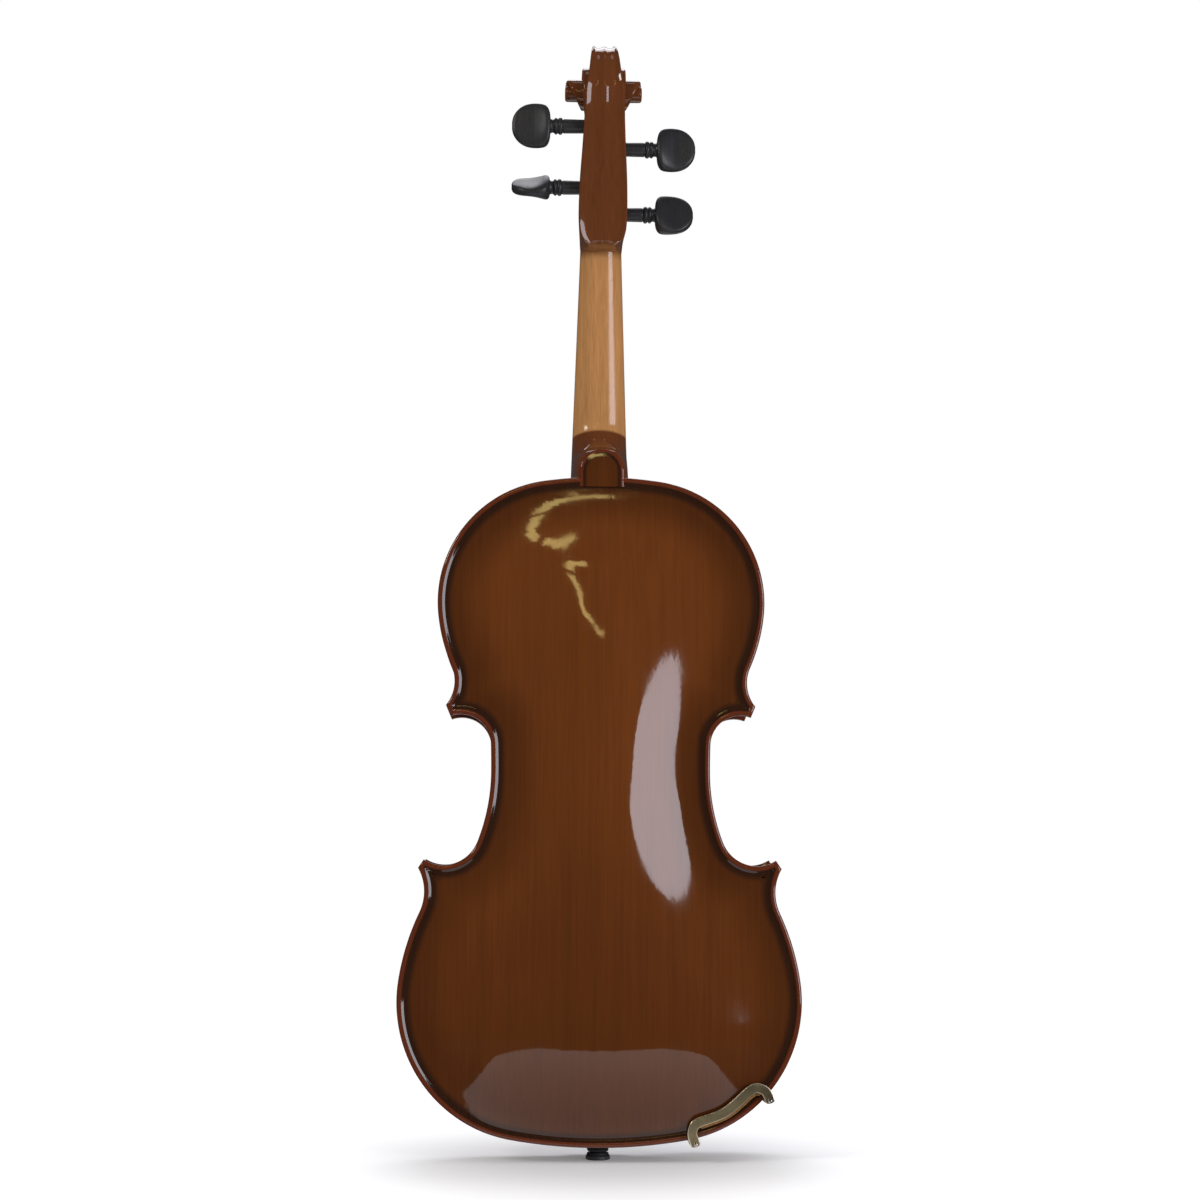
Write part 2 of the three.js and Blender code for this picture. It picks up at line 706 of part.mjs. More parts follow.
function headHalf() {
  const turn = VOLUTE.steps;
  const edge = (i) => new THREE.Vector2(voluteEdge(i).x, voluteEdge(i).y);
  const rows = PEGBOX.map(([b, f]) => headSection(new THREE.Vector2(b[0], b[1]),
    new THREE.Vector2(f[0], f[1]), b[2], f[2], 0));
  const spiral = [];
  for (let i = 0; i + turn <= VOLUTE.count; i++) {
    const hollow = THREE.MathUtils.smoothstep(i, 0, 5);
    spiral.push(headSection(edge(i), edge(i + turn), voluteHalf(i), voluteHalf(i + turn), hollow));
  }
  const rims = [];
  for (let i = 0; i <= VOLUTE.count; i++) {
    const inward = new THREE.Vector2(VOLUTE.y, VOLUTE.s).sub(edge(i)).normalize();
    const row = i < spiral.length ? spiral[i].slice(0, 4) : [0, 1, 2, 3].map((k) => {
      const x = [0, voluteHalf(i) * 0.5, voluteHalf(i) - CHAMFER, voluteHalf(i)][k];
      const depth = [0.2, FLUTE_DEPTH, 0, CHAMFER * 0.8][k];
      return point(x, edge(i).x + inward.x * depth, edge(i).y + inward.y * depth);
    });
    rims.push(row);
  }
  const faces = [];
  const quad = (a, b, c, d) => faces.push([a, b, c], [a, c, d]);
  rows.push([...spiral[0].slice(0, 6), rims[turn][2], rims[turn][1], rims[turn][0]]);
  for (let r = 0; r + 1 < rows.length; r++) {
    for (let c = 0; c < 8; c++) quad(rows[r][c], rows[r + 1][c], rows[r + 1][c + 1], rows[r][c + 1]);
  }
  for (let c = 1; c < 8; c++) faces.push([rows[0][0], rows[0][c], rows[0][c + 1]]);
  for (let i = 0; i < turn; i++) {
    for (let c = 0; c < 2; c++) quad(rims[i][c], rims[i + 1][c], rims[i + 1][c + 1], rims[i][c + 1]);
  }
  const side = (i) => [...spiral[i].slice(2, 6), rims[i + turn][2]];
  const last = VOLUTE.count - turn;
  for (let i = 0; i < last; i++) {
    const [one, two] = [side(i), side(i + 1)];
    for (let c = 0; c < 4; c++) quad(one[c], two[c], two[c + 1], one[c + 1]);
  }
  for (let i = last; i < VOLUTE.count; i++) quad(rims[i][2], rims[i + 1][2], rims[i + 1][3], rims[i][3]);
  const eyeMiddle = point(voluteHalf(VOLUTE.count) + 0.3, VOLUTE.y, VOLUTE.s);
  const rim = [];
  for (let i = last; i <= VOLUTE.count; i++) rim.push(rims[i][3]);
  rim.push(rims[VOLUTE.count][2], spiral[last][5], spiral[last][4], rims[last][3]);
  for (let i = 0; i + 1 < rim.length; i++) faces.push([eyeMiddle, rim[i], rim[i + 1]]);
  return faces;
}

function headSolid() {
  const half = headHalf();
  const mirrored = half.map(([a, b, c]) => [a, c, b].map((p) => new THREE.Vector3(-p.x, p.y, p.z)));
  const points = [...half, ...mirrored].flat();
  return solid(fromTriangles(points, points.map((_, i) => i)));
}

// The pegs in their order up the pegbox. Side -1 is the treble side, roll turns the head, and
// the tip ends flush with the far cheek.
const PEG_TAPER = 1 / 60;
const PEGS = {
  c: { side: 1, y: -7, s: 575, roll: 22, tip: -14.3 },
  a: { side: -1, y: -14.3, s: 590, roll: 58, tip: -13.9 },
  g: { side: 1, y: -25.5, s: 611.6, roll: 4, tip: -12.9 },
  d: { side: -1, y: -30, s: 624.6, roll: -3, tip: -12.4 },
};
const COLLAR_AT = 25;
const COLLAR_RADIUS = 4.45;

function pegRadius(x) {
  return COLLAR_RADIUS - (COLLAR_AT - x) * PEG_TAPER;
}

function alongX(geometry, { side, y, s }) {
  const placed = geometry.rotateZ(-Math.PI / 2);
  if (side < 0) placed.rotateY(Math.PI);
  return placed.translate(0, y, s + BODY_BASE);
}

function trough() {
  const profile = [
    [30, 563.6], [-8.5, 564.6], [-12.2, 569], [-21.6, 592], [-32, 611], [-35.8, 620],
    [-36.6, 627], [-33.5, 630.8], [-28, 631], [-22, 629], [10, 620], [30, 600],
  ];
  const half = (s) => 8.4 - (1.6 * (s - 563)) / 67;
  const ring = (side) => profile.map(([y, s]) => point(side * half(s), y, s));
  return solid(loft([ring(-1), ring(1)]));
}

const boreGap = 0.22;
const pegBores = Object.values(PEGS).map((peg) => {
  const stops = [[-20, pegRadius(-20) + boreGap], [20, pegRadius(20) + boreGap]];
  return solid(alongX(turned(stops, 20), peg));
});
const head = pegBores.reduce((rest, bore) => rest.subtract(bore), headSolid().subtract(trough()));
add("neck_and_scroll", shape(neck.add(head)), "varnish");

// A peg: a tapered shaft, a collar with two rings and a heart shaped head.
const COLLAR_STOPS = [
  [25, 4.45], [25.3, 4.1], [26.2, 5.2], [27.5, 5.3], [28.3, 4.5], [29, 4.5],
  [29.6, 5.2], [30.3, 5.1], [30.9, 4.2], [32.3, 4.1], [34.5, 5.2],
];
// Stations of the head: [distance out, half height, half thickness].
const HEAD_STOPS = [
  [33.2, 4.6, 4.6], [34.2, 9.4, 6], [35.6, 12, 6.2], [39, 13.6, 4.8], [45, 13.8, 3.7],
  [50, 12.5, 3.5], [54, 9.6, 3.6], [56.4, 5.6, 3], [57.2, 2.4, 1.4],
];

function peg({ side, y, s, roll, tip }) {
  const shaft = turned([[tip, pegRadius(tip) - 0.6], [tip + 1, pegRadius(tip + 1)], ...COLLAR_STOPS], 14);
  const sides = 12;
  const turn = THREE.MathUtils.degToRad(roll);
  const rings = HEAD_STOPS.map(([out, tall, thick]) => Array.from({ length: sides }, (_, i) => {
    const angle = (i / sides) * 2 * Math.PI;
    const [up, deep] = [tall * Math.sin(angle), thick * Math.cos(angle)];
    const z = up * Math.cos(turn) - deep * Math.sin(turn);
    return point(side * out, y + up * Math.sin(turn) + deep * Math.cos(turn), s + z);
  }));
  return solid(alongX(shaft, { side, y, s })).add(solid(loft(rings)));
}

for (const [name, place] of Object.entries(PEGS)) add(`${name}_peg`, shape(peg(place)), "ebony");

// The fingerboard, hollowed under its free end, and the nut above it.

function boardSection(s, half, raise, hollow) {
  const floor = glueLine(s) + GAP;
  const edge = floor + FINGERBOARD_EDGE + raise;
  const rim = Math.sqrt(FINGERBOARD_RADIUS ** 2 - half ** 2);
  const crownPoints = [1, 0.75, 0.4, 0, -0.4, -0.75, -1].map((share) => {
    const x = half * share;
    return [x, edge + Math.sqrt(FINGERBOARD_RADIUS ** 2 - x ** 2) - rim];
  });
  const floorPoints = [[-half, 0], [-half + 3.5, 0], [-half * 0.4, hollow], [half * 0.4, hollow],
    [half - 3.5, 0], [half, 0]];
  return [...crownPoints, ...floorPoints.map(([x, rise]) => [x, floor + rise])].map(([x, y]) => point(x, y, s));
}

const BOARD_STATIONS = [[NUT - GAP, 0], [BODY_LENGTH, 0], [BODY_LENGTH - 3, 1.2],
  [NUT - FINGERBOARD_LENGTH, 5.5]];
add("fingerboard", loft(BOARD_STATIONS.map(([s, hollow]) => boardSection(s, boardHalf(s), 0, hollow))),
  "ebony");

// Strings: gauge in mm, places at the nut, bridge and tailpiece, and height over the board's end.
const STRINGS = {
  a: { gauge: 0.76, nut: -8.4, bridge: -18.75, tail: -14.4, action: 4.6, lane: 4, loops: 2.5, pitch: 1.22 },
  d: { gauge: 0.84, nut: -2.8, bridge: -6.25, tail: -4.8, action: 5.2, lane: 2, loops: 2.5, pitch: 1.3 },
  g: { gauge: 0.92, nut: 2.8, bridge: 6.25, tail: 4.8, action: 5.8, lane: 2, loops: 2.5, pitch: 1.4 },
  c: { gauge: 1.12, nut: 8.4, bridge: 18.75, tail: 14.4, action: 6.4, lane: 3.9, loops: 2, pitch: 1.6 },
};
const NUT_RISE = 0.7;
const NUT_DEPTH = 5.6;

function boardTop(s, x) {
  const half = boardHalf(s);
  const fall = Math.sqrt(FINGERBOARD_RADIUS ** 2 - x ** 2) - Math.sqrt(FINGERBOARD_RADIUS ** 2 - half ** 2);
  return glueLine(s) + GAP + FINGERBOARD_EDGE + fall;
}

function stringPoint(string, s) {
  const share = (NUT - s) / (NUT - BRIDGE_AT);
  const boardEnd = NUT - FINGERBOARD_LENGTH;
  const endShare = FINGERBOARD_LENGTH / (NUT - BRIDGE_AT);
  const endX = lerp(string.nut, string.bridge, endShare);
  const atNut = boardTop(NUT, string.nut) + NUT_RISE + string.gauge / 2;
  const atEnd = boardTop(boardEnd, endX) + string.action + string.gauge / 2;
  return new THREE.Vector3(lerp(string.nut, string.bridge, share),
    atNut + ((atEnd - atNut) * share) / endShare, s);
}

// A route that bends only at its own points, so a bar along it has one ring at each.
class Route extends THREE.Curve {
  constructor(points) {
    super();
    this.points = points;
  }

  getPoint(t) {
    const last = this.points.length - 1;
    const i = Math.min(Math.floor(t * last), last - 1);
    return new THREE.Vector3().lerpVectors(this.points[i], this.points[i + 1], t * last - i);
  }

  getPointAt(u) {
    return this.getPoint(u);
  }

  getTangentAt(u) {
    return this.getTangent(u);
  }
}

function routeBar(points, radius, sides) {
  return bar(new Route(points), radius, points.length - 1, sides);
}

// The tailpiece's top slopes from the bridge side down to the saddle.
const TAIL_TOP_LEVEL = 58;
const TAIL_END_LEVEL = 37;
const TAIL_SLOPE = (TAIL_TOP_LEVEL - TAIL_END_LEVEL) / (TAILPIECE_TOP - TAILPIECE_END);
const TAIL_TILT = Math.atan(TAIL_SLOPE);

// A place on the tailpiece: distance down from its bridge end, and height above its top.
function tailPoint(x, down, rise) {
  const [c, s] = [Math.cos(TAIL_TILT), Math.sin(TAIL_TILT)];
  return point(x, TAIL_TOP_LEVEL - down * s + rise * c, TAILPIECE_TOP - down * c - rise * s);
}

const WINDING_STEPS = 16;
const STRING_SIDES = 6;
const HOOK = { down: 4.4, rise: 3.2 };

// Where a string meets its peg: the tangent point on the strings' side, and the coil on from it.
function coil(name) {
  const [string, peg] = [STRINGS[name], PEGS[name]];
  const from = stringPoint(string, NUT + NUT_DEPTH - 1);
  from.y -= 0.35;
  const radius = pegRadius(string.lane) + GAP + string.gauge / 2;
  const toNut = new THREE.Vector2(from.y - peg.y, from.z - peg.s);
  const spread = Math.acos(radius / toNut.length());
  const start = toNut.angle() + spread;
  const begin = start > Math.PI * 1.5 ? start - 2 * Math.PI : start;
  const round = (turn) => point(
    peg.side * (string.lane + (string.pitch * turn) / (2 * Math.PI)),
    peg.y + radius * Math.cos(begin + turn),
    peg.s + radius * Math.sin(begin + turn),
  );
  const steps = WINDING_STEPS * string.loops;
  const points = Array.from({ length: steps + 1 }, (_, i) => round((i / WINDING_STEPS) * 2 * Math.PI));
  const last = points[steps];
  const onward = new THREE.Vector3().subVectors(last, points[steps - 1]).setLength(string.gauge);
  points.push(last.clone().add(onward));
  return { from: point(from.x, from.y, from.z), points };
}

function leastGap(points, diameter) {
  let least = Infinity;
  points.forEach((p, i) => {
    for (let j = i + WINDING_STEPS / 2; j < points.length; j++) least = Math.min(least,
      p.distanceTo(points[j]));
  });
  return least - diameter;
}

// A string is one unbroken cord from its tuner's hook over the bridge and nut and round its peg.
const stringRoutes = {};
for (const [name, string] of Object.entries(STRINGS)) {
  const { from, points } = coil(name);
  const top = stringPoint(string, NUT);
  const onBridge = stringPoint(string, BRIDGE_AT);
  stringRoutes[name] = [
    tailPoint(string.tail, HOOK.down, HOOK.rise),
    point(onBridge.x, onBridge.y, onBridge.z),
    point(top.x, top.y, NUT + 0.5),
    from,
    ...points,
  ];
  add(`${name}_string`, routeBar(stringRoutes[name], string.gauge / 2, STRING_SIDES), "steel");
  console.log(`${name} string on its peg, least gap ${leastGap(points, string.gauge).toFixed(2)} mm`);
}

const TO_PEG = 5;
const stringSlots = Object.entries(STRINGS).map(([name, { gauge }]) => (
  solid(routeBar(stringRoutes[name].slice(0, TO_PEG), gauge / 2 + GAP, 8))
));

function slotted(piece) {
  return stringSlots.reduce((rest, slot) => rest.subtract(slot), piece);
}

const nutRings = [NUT + 0.2, NUT + NUT_DEPTH - 1.4, NUT + NUT_DEPTH].map((s, i) => (
  boardSection(s, boardHalf(s), NUT_RISE + 0.5 - (i === 2 ? 1.2 : 0), 0)
));
add("nut", shape(slotted(solid(loft(nutRings)))), "ebony");

// The bridge: feet shaped to the belly, waist, heart and side cut-outs, thinner at the top.
const BRIDGE_FOOT_THICKNESS = 4.8;
const BRIDGE_TOP_THICKNESS = 1.8;
const BRIDGE_SIDE = [
  [6, 43.2], [11, 40.5], [12.6, 37.5], [12.4, 30], [24.6, 28], [24.8, 35.2], [20, 37.6], [17.4, 40.6],
  [17.6, 43.4], [21.5, 46.4], [23.6, 51], [22.6, 54.6], [20.4, 53.4], [18.2, 53.8], [17.6, 56.2],
  [19.2, 58.6], [22.4, 59.6], [23, 63], [22.2, 67.6],
];
const BRIDGE_HEART = [[0, 50.5], [2.2, 55], [5.2, 57.4], [5.6, 60.4], [3.4, 62.4], [1.2, 61.4]];

function bridge() {
  const crest = Object.values(STRINGS).map((string) => stringPoint(string, BRIDGE_AT)).map(({ x, y }) => [x,
    y]);
  const right = BRIDGE_SIDE;
  const left = right.map(([x, y]) => [-x, y]).reverse();
  const outline = new THREE.Shape([...right, ...crest.reverse(),
    ...left].map(([x, y]) => new THREE.Vector2(x, y)));
  const heart = [...BRIDGE_HEART, ...BRIDGE_HEART.slice(1).map(([x, y]) => [-x, y]).reverse()];
  outline.holes.push(new THREE.Path(heart.map(([x, y]) => new THREE.Vector2(x, y))));
  const geometry = new THREE.ExtrudeGeometry(outline, { depth: 1, bevelEnabled: false });
  const p = geometry.attributes.position;
  for (let i = 0; i < p.count; i++) {
    const y = p.getY(i);
    const thickness = along([[36, BRIDGE_FOOT_THICKNESS], [73, BRIDGE_TOP_THICKNESS]], y);
    p.setZ(i, BRIDGE_AT + BODY_BASE + (p.getZ(i) - 0.5) * thickness);
  }
  return solid(geometry);
}

const bellyForFeet = topPlate.translate([0, GAP, 0]);
add("bridge", shape(largest(slotted(bridge().subtract(bellyForFeet)))), "maple");

function largest(manifold) {
  return manifold.decompose().reduce((best, piece) => (piece.volume() > best.volume() ? piece : best));
}

// Inside the body: the sound post under the treble foot and the bass bar under the bass foot.
const POST = { x: -17, s: BRIDGE_AT - 7, radius: 3.4 };
const postBlank = new THREE.CylinderGeometry(POST.radius, POST.radius, 90, 14).translate(POST.x, 0,
  POST.s + BODY_BASE);
const post = solid(postBlank)
  .subtract(topPlate.translate([0, -GAP, 0]))
  .subtract(backPlate.translate([0, GAP, 0]));
const postMiddle = post.decompose().find((piece) => {
  const { min, max } = piece.boundingBox();
  return min[1] < 0 && max[1] > 0;
});
add("sound_post", shape(postMiddle), "bareWood");

const BAR = { x: 17, from: 54, to: 352, half: 2.8 };
const barSide = [
  [BAR.from, 26], [BAR.from + 60, 24], [BRIDGE_AT - 30, 22], [BRIDGE_AT + 40, 22], [BAR.to - 60, 24.5],
    [BAR.to, 27],
  [BAR.to, 45], [BAR.from, 45],
];
const barRing = (side) => barSide.map(([s, y]) => point(BAR.x + side * BAR.half, y, s));
const barBlank = solid(loft([barRing(-1), barRing(1)]));
const barPieces = barBlank.subtract(topPlate.translate([0, -GAP, 0])).decompose();
const barPiece = barPieces.find((piece) => piece.boundingBox().min[1] < 25);
add("bass_bar", shape(barPiece), "bareWood");

// The tailpiece, with four slots and four screw holes for its fine tuners.
const TAIL_LENGTH = Math.hypot(TAILPIECE_TOP - TAILPIECE_END, TAIL_TOP_LEVEL - TAIL_END_LEVEL);
const TUNER = {
  slotFrom: 3.2, slotTo: 11.4, slotHalf: 1.5, hookAt: 6, screwAt: 22,
  holeRadius: 1.75, shankRadius: 1.4, longRise: -11.4, leverHalf: 1,
};
// Stations down the tailpiece: [distance, half width, edge thickness, ridge].
const TAIL_STATIONS = [[0, 20.4, 3.2, 1.6], [1.4, 21.5, 4.4, 3], [30, 18.6, 4.4, 3.6], [100, 11.6, 3.8, 3.2],
  [TAIL_LENGTH, 10, 4, 2.6]];

function tailSection([down, half, thick, ridge]) {
  const top = [1, 0.7, 0.35, 0, -0.35, -0.7, -1].map((share) => [half * share,
    ridge * (1 - share * share) - ridge]);
  const under = [[-half + 0.8, -ridge - thick], [-half * 0.3, -thick - 0.4 * ridge],
    [half * 0.3, -thick - 0.4 * ridge], [half - 0.8, -ridge - thick]];
  return [...top, ...under].map(([x, rise]) => tailPoint(x, down, rise));
}

function tailBox(x0, x1, down0, down1, rise0, rise1) {
  const face = (down) => [[x1, rise0], [x1, rise1], [x0, rise1],
    [x0, rise0]].map(([x, rise]) => tailPoint(x, down, rise));
  return solid(loft([face(down0), face(down1)]));
}

// A turned piece standing on the tailpiece: stops are [height above its top, radius].
function tailTurned(stops, sides, x, down) {
  const geometry = turned(stops, sides).rotateX(-TAIL_TILT);
  const foot = tailPoint(x, down, 0);
  return geometry.translate(foot.x, foot.y, foot.z);
}

const tailGutWay = [
  new THREE.Vector3(5, 30.9, 11.7), new THREE.Vector3(5, 30.8, 4), new THREE.Vector3(5.05, 30.2, 0),
  new THREE.Vector3(5.1, 28.2, -2.6), new THREE.Vector3(5.2, 25, -3.3), new THREE.Vector3(5.5, 3, -3.3),
];
const GUT_RADIUS = 1.1;
const BUTTON_NECK = 4.1;
const gutBend = Array.from({ length: 7 }, (_, i) => {
  const angle = -0.25 - (i * (Math.PI - 0.5)) / 6;
  const reach = BUTTON_NECK + GAP + GUT_RADIUS + 0.1;
  return new THREE.Vector3(reach * Math.cos(angle), reach * Math.sin(angle), -3.3);
});
const gutRoute = [...tailGutWay, ...gutBend, ...tailGutWay.map((p) => new THREE.Vector3(-p.x, p.y,
  p.z)).reverse()]
  .map((p) => point(p.x, p.y, p.z));

const tailBlank = loft(TAIL_STATIONS.map(tailSection));
const tunerPlaces = Object.entries(STRINGS).map(([name, { tail }]) => [name, tail]);
const tailpiece = tunerPlaces.reduce((piece, [, x]) => {
  const slot = tailBox(x - TUNER.slotHalf, x + TUNER.slotHalf, TUNER.slotFrom, TUNER.slotTo, -14, 6);
  const hole = solid(tailTurned([[-14, TUNER.holeRadius], [6, TUNER.holeRadius]], 12, x, TUNER.screwAt));
  return piece.subtract(slot).subtract(hole);
}, solid(tailBlank));
add("tailpiece", shape(tailpiece), "ebony");

for (const [name, x] of tunerPlaces) {
  const half = TUNER.leverHalf;
  const hookTop = HOOK.rise - STRINGS[name].gauge / 2 - GAP;
  const post = [[TUNER.slotFrom + 0.6, TUNER.longRise], [TUNER.slotFrom + 0.6, hookTop],
    [TUNER.hookAt + 1.6, hookTop]];
  const arm = [[TUNER.hookAt + 2.8, TUNER.longRise + 3.2], [TUNER.hookAt + 6, TUNER.longRise + 1.6],
    [TUNER.screwAt + 1.6, TUNER.longRise + 1.6]];
  const outline = [...post, ...arm, [TUNER.screwAt + 1.6, TUNER.longRise]];
  const face = (side) => outline.map(([down, rise]) => tailPoint(x + side * half, down, rise));
  add(`${name}_tuner_lever`, shape(solid(loft([face(1), face(-1)]))), "nickel");
  const foot = TUNER.longRise + 1.6 + GAP;
  const stops = [[foot, TUNER.shankRadius], [3.6, TUNER.shankRadius], [3.7, 3], [4.2, 3.5], [7.4, 3.5],
    [8, 2.9]];
  add(`${name}_tuner_screw`, tailTurned(stops, 12, x, TUNER.screwAt), "nickel");
}

// The tailgut passes over the saddle and down round the neck of the end button.
add("tailgut", routeBar(gutRoute, GUT_RADIUS, 8), "gut");
const saddleSide = [
  [-0.3, 19.3], [SADDLE_DEPTH - GAP, 19.3], [SADDLE_DEPTH - GAP, 27.5], [4.6, 29.3], [1.5, 29.3],
    [-0.6, 28.2], [-1.5, 26], [-1.3, 24], [-0.3, 23.2],
];
const saddleRing = (x) => saddleSide.map(([s, y]) => point(x, y, s));
add("saddle", loft([saddleRing(-(SADDLE_HALF - GAP)), saddleRing(SADDLE_HALF - GAP)]), "ebony");

// Stops of the end button from its face upwards: [height, radius].
const END_BUTTON_STOPS = [
  [0, 6.9], [0.5, 7.5], [2.2, 7.5], [2.8, 6.9], [4.2, 6.5], [4.6, BUTTON_NECK], [7.6, BUTTON_NECK], [8, 6],
    [BODY_BASE - GAP, 6],
  [BODY_BASE + 2.6, 4.1], [34, 3.8],
];
add("end_button", turned(END_BUTTON_STOPS, 20).rotateX(Math.PI / 2), "ebony");

// The chin rest: a dished plate over the treble side of the tailpiece's end, on a foot by the edge.
const CHIN = { x: 70, s: 51, halfWidth: 42, halfLength: 36, squareness: 2.4, tilt: -0.06 };
// Rings of the plate, from the middle of its underside over the rim to the dish: [share of size, height].
const CHIN_RINGS = [[0.45, 37.4], [0.8, 39.4], [0.98, 43.4], [1, 44.8], [0.96, 45.8], [0.86, 44.6],
  [0.6, 41.9], [0.3, 40.6]];
const CHIN_SIDES = 26;

function chinRing([share, level]) {
  return Array.from({ length: CHIN_SIDES }, (_, i) => {
    const angle = (i / CHIN_SIDES) * 2 * Math.PI;
    const [c, s] = [Math.cos(angle), Math.sin(angle)];
    const reach = share / (Math.abs(c) ** CHIN.squareness + Math.abs(s) ** CHIN.squareness) ** (1 / CHIN.squareness);
    const [dx, ds] = [CHIN.halfWidth * reach * c, CHIN.halfLength * reach * s];
    return point(CHIN.x + dx, level + CHIN.tilt * ds, CHIN.s + ds);
  });
}

// The clamp's bracket runs round the lower corner of the body, from its inner leg to its outer one.
const CLAMP_PATH = [
  [57.6, 2.4], [55.6, 9], [57.8, 14.6], [65.8, 17.8], [72.5, 20.3], [78, 23.5], [83.8, 28.4], [89, 33.2],
    [93.8, 36],
  [98.8, 34.6], [101.2, 31.5], [102.3, 28.2],
].map(([x, s]) => new THREE.Vector2(x, s));
const [LEG_IN, LEG_OUT] = [CLAMP_PATH[0], CLAMP_PATH[CLAMP_PATH.length - 1]];
const CLAMP_HALF = 2.95;
const CLAMP_THICKNESS = 1.8;
const CORK_THICKNESS = 1.8;
const ROD_RADIUS = 1.3;
const ROD_END = 2.2;
const BARREL = { radius: 2.9, bore: ROD_RADIUS + GAP, half: 11, keyHole: 1 };

// A strip of even width along part of the clamp's path.
function strip(points, half) {
  const sideways = points.map((p, i) => {
    const before = points[Math.max(i - 1, 0)];
    const after = points[Math.min(i + 1, points.length - 1)];
    const way = new THREE.Vector2().subVectors(after, before).normalize();
    return new THREE.Vector2(-way.y, way.x).multiplyScalar(half);
  });
  const left = points.map((p, i) => p.clone().add(sideways[i]));
  const right = points.map((p, i) => p.clone().sub(sideways[i]));
  return [...left, ...right.reverse()];
}

const EDGE_LEVEL = PLATE_INNER + EDGE_THICKNESS;
const CORK_LEVEL = EDGE_LEVEL + GAP;
const CLAMP_LEVEL = CORK_LEVEL + CORK_THICKNESS + GAP;
const CLAMP_TOP = CLAMP_LEVEL + CLAMP_THICKNESS;
const overEdge = CLAMP_PATH.slice(3, 9);
const FOOT_HALF = 4.6;

const chinPlate = solid(loft(CHIN_RINGS.map(chinRing)));
const chinFoot = solid(prism(strip(overEdge, FOOT_HALF), CLAMP_TOP + GAP, CHIN_RINGS[1][1] + 1.6));
add("chin_rest", shape(chinPlate.add(chinFoot)), "ebony");

// A clamp half: the bracket's flat strip and the two rods that go into the barrels.
function clamp(side) {
  const levels = [side * CLAMP_LEVEL, side * CLAMP_TOP].sort((a, b) => a - b);
  const plateStrip = solid(prism(strip(CLAMP_PATH, CLAMP_HALF), ...levels));
  const rods = [LEG_IN, LEG_OUT].map((leg) => clampTurned(leg,
    [[ROD_END, ROD_RADIUS - 0.2], [ROD_END + 0.4, ROD_RADIUS], [CLAMP_TOP, ROD_RADIUS]], side));
  return shape(plateStrip.add(rods[0]).add(rods[1]));
}

function clampTurned(leg, stops, side) {
  const placed = side > 0 ? stops : stops.map(([at, radius]) => [-at, radius]).reverse();
  return solid(turned(placed, 14).translate(leg.x, 0, leg.y + BODY_BASE));
}

for (const [name, side] of [["upper", 1], ["lower", -1]]) {
  add(`${name}_clamp`, clamp(side), "steel");
  const levels = [side * CORK_LEVEL, side * (CORK_LEVEL + CORK_THICKNESS)].sort((a, b) => a - b);
  add(`${name}_clamp_cork`, prism(strip(overEdge, CLAMP_HALF + 0.4), ...levels), "cork");
}

// The barrels draw the two halves together; a key turns them through a cross hole.
for (const [name, leg] of [["inner", LEG_IN], ["outer", LEG_OUT]]) {
  const { radius, bore, half, keyHole } = BARREL;
  const body = clampTurned(leg, [[-half, radius - 0.5], [-half + 0.5, radius], [half - 0.5, radius],
    [half, radius - 0.5]], 1);
  const hole = clampTurned(leg, [[-half - 1, bore], [half + 1, bore]], 1);
  const cross = turned([[-radius - 1, keyHole], [radius + 1, keyHole]], 10).rotateZ(Math.PI / 2);
  add(`${name}_clamp_barrel`, shape(body.subtract(hole).subtract(solid(cross.translate(leg.x, 0,
    leg.y + BODY_BASE)))), "steel");
}

export default group;
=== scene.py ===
"""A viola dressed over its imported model: arched plates, carved head, pegs and fittings."""
import json
import math

import bmesh
import bpy
import numpy as np
from bpy.props import FloatProperty, FloatVectorProperty, PointerProperty
from mathutils import Matrix, Vector
from mathutils.geometry import delaunay_2d_cdt


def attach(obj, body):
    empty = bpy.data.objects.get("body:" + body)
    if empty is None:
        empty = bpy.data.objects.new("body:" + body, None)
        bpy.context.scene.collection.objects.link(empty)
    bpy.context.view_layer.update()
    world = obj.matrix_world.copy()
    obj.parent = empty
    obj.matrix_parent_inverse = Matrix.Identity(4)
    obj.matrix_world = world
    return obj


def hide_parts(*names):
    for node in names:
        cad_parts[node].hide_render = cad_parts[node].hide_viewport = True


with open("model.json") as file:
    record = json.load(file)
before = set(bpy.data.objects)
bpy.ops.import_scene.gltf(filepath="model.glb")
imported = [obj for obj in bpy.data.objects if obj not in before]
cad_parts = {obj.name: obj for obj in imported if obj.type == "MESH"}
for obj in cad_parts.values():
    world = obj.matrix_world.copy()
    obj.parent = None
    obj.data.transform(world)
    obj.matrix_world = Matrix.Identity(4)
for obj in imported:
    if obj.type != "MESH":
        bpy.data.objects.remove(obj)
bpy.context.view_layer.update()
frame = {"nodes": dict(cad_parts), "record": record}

bl_info = {
    "name": "Viola",
    "version": (1, 0, 0),
    "blender": (4, 5, 0),
    "location": "View3D > Sidebar > Viola",
    "description": "Builds the fine surfaces, finishes, lights and camera of a viola",
    "category": "Object",
}

MM = 0.001

# Shapes are given in millimetres: x across, y towards the strings, and s up from the body's
# lower edge, which is BODY_BASE above the end button's face.
BODY_BASE = 9.3
BODY_LENGTH = 406.0
BODY_MIDDLE = BODY_LENGTH / 2
# How far the plates' inner faces are from the middle plane.
PLATE_INNER = 19.15
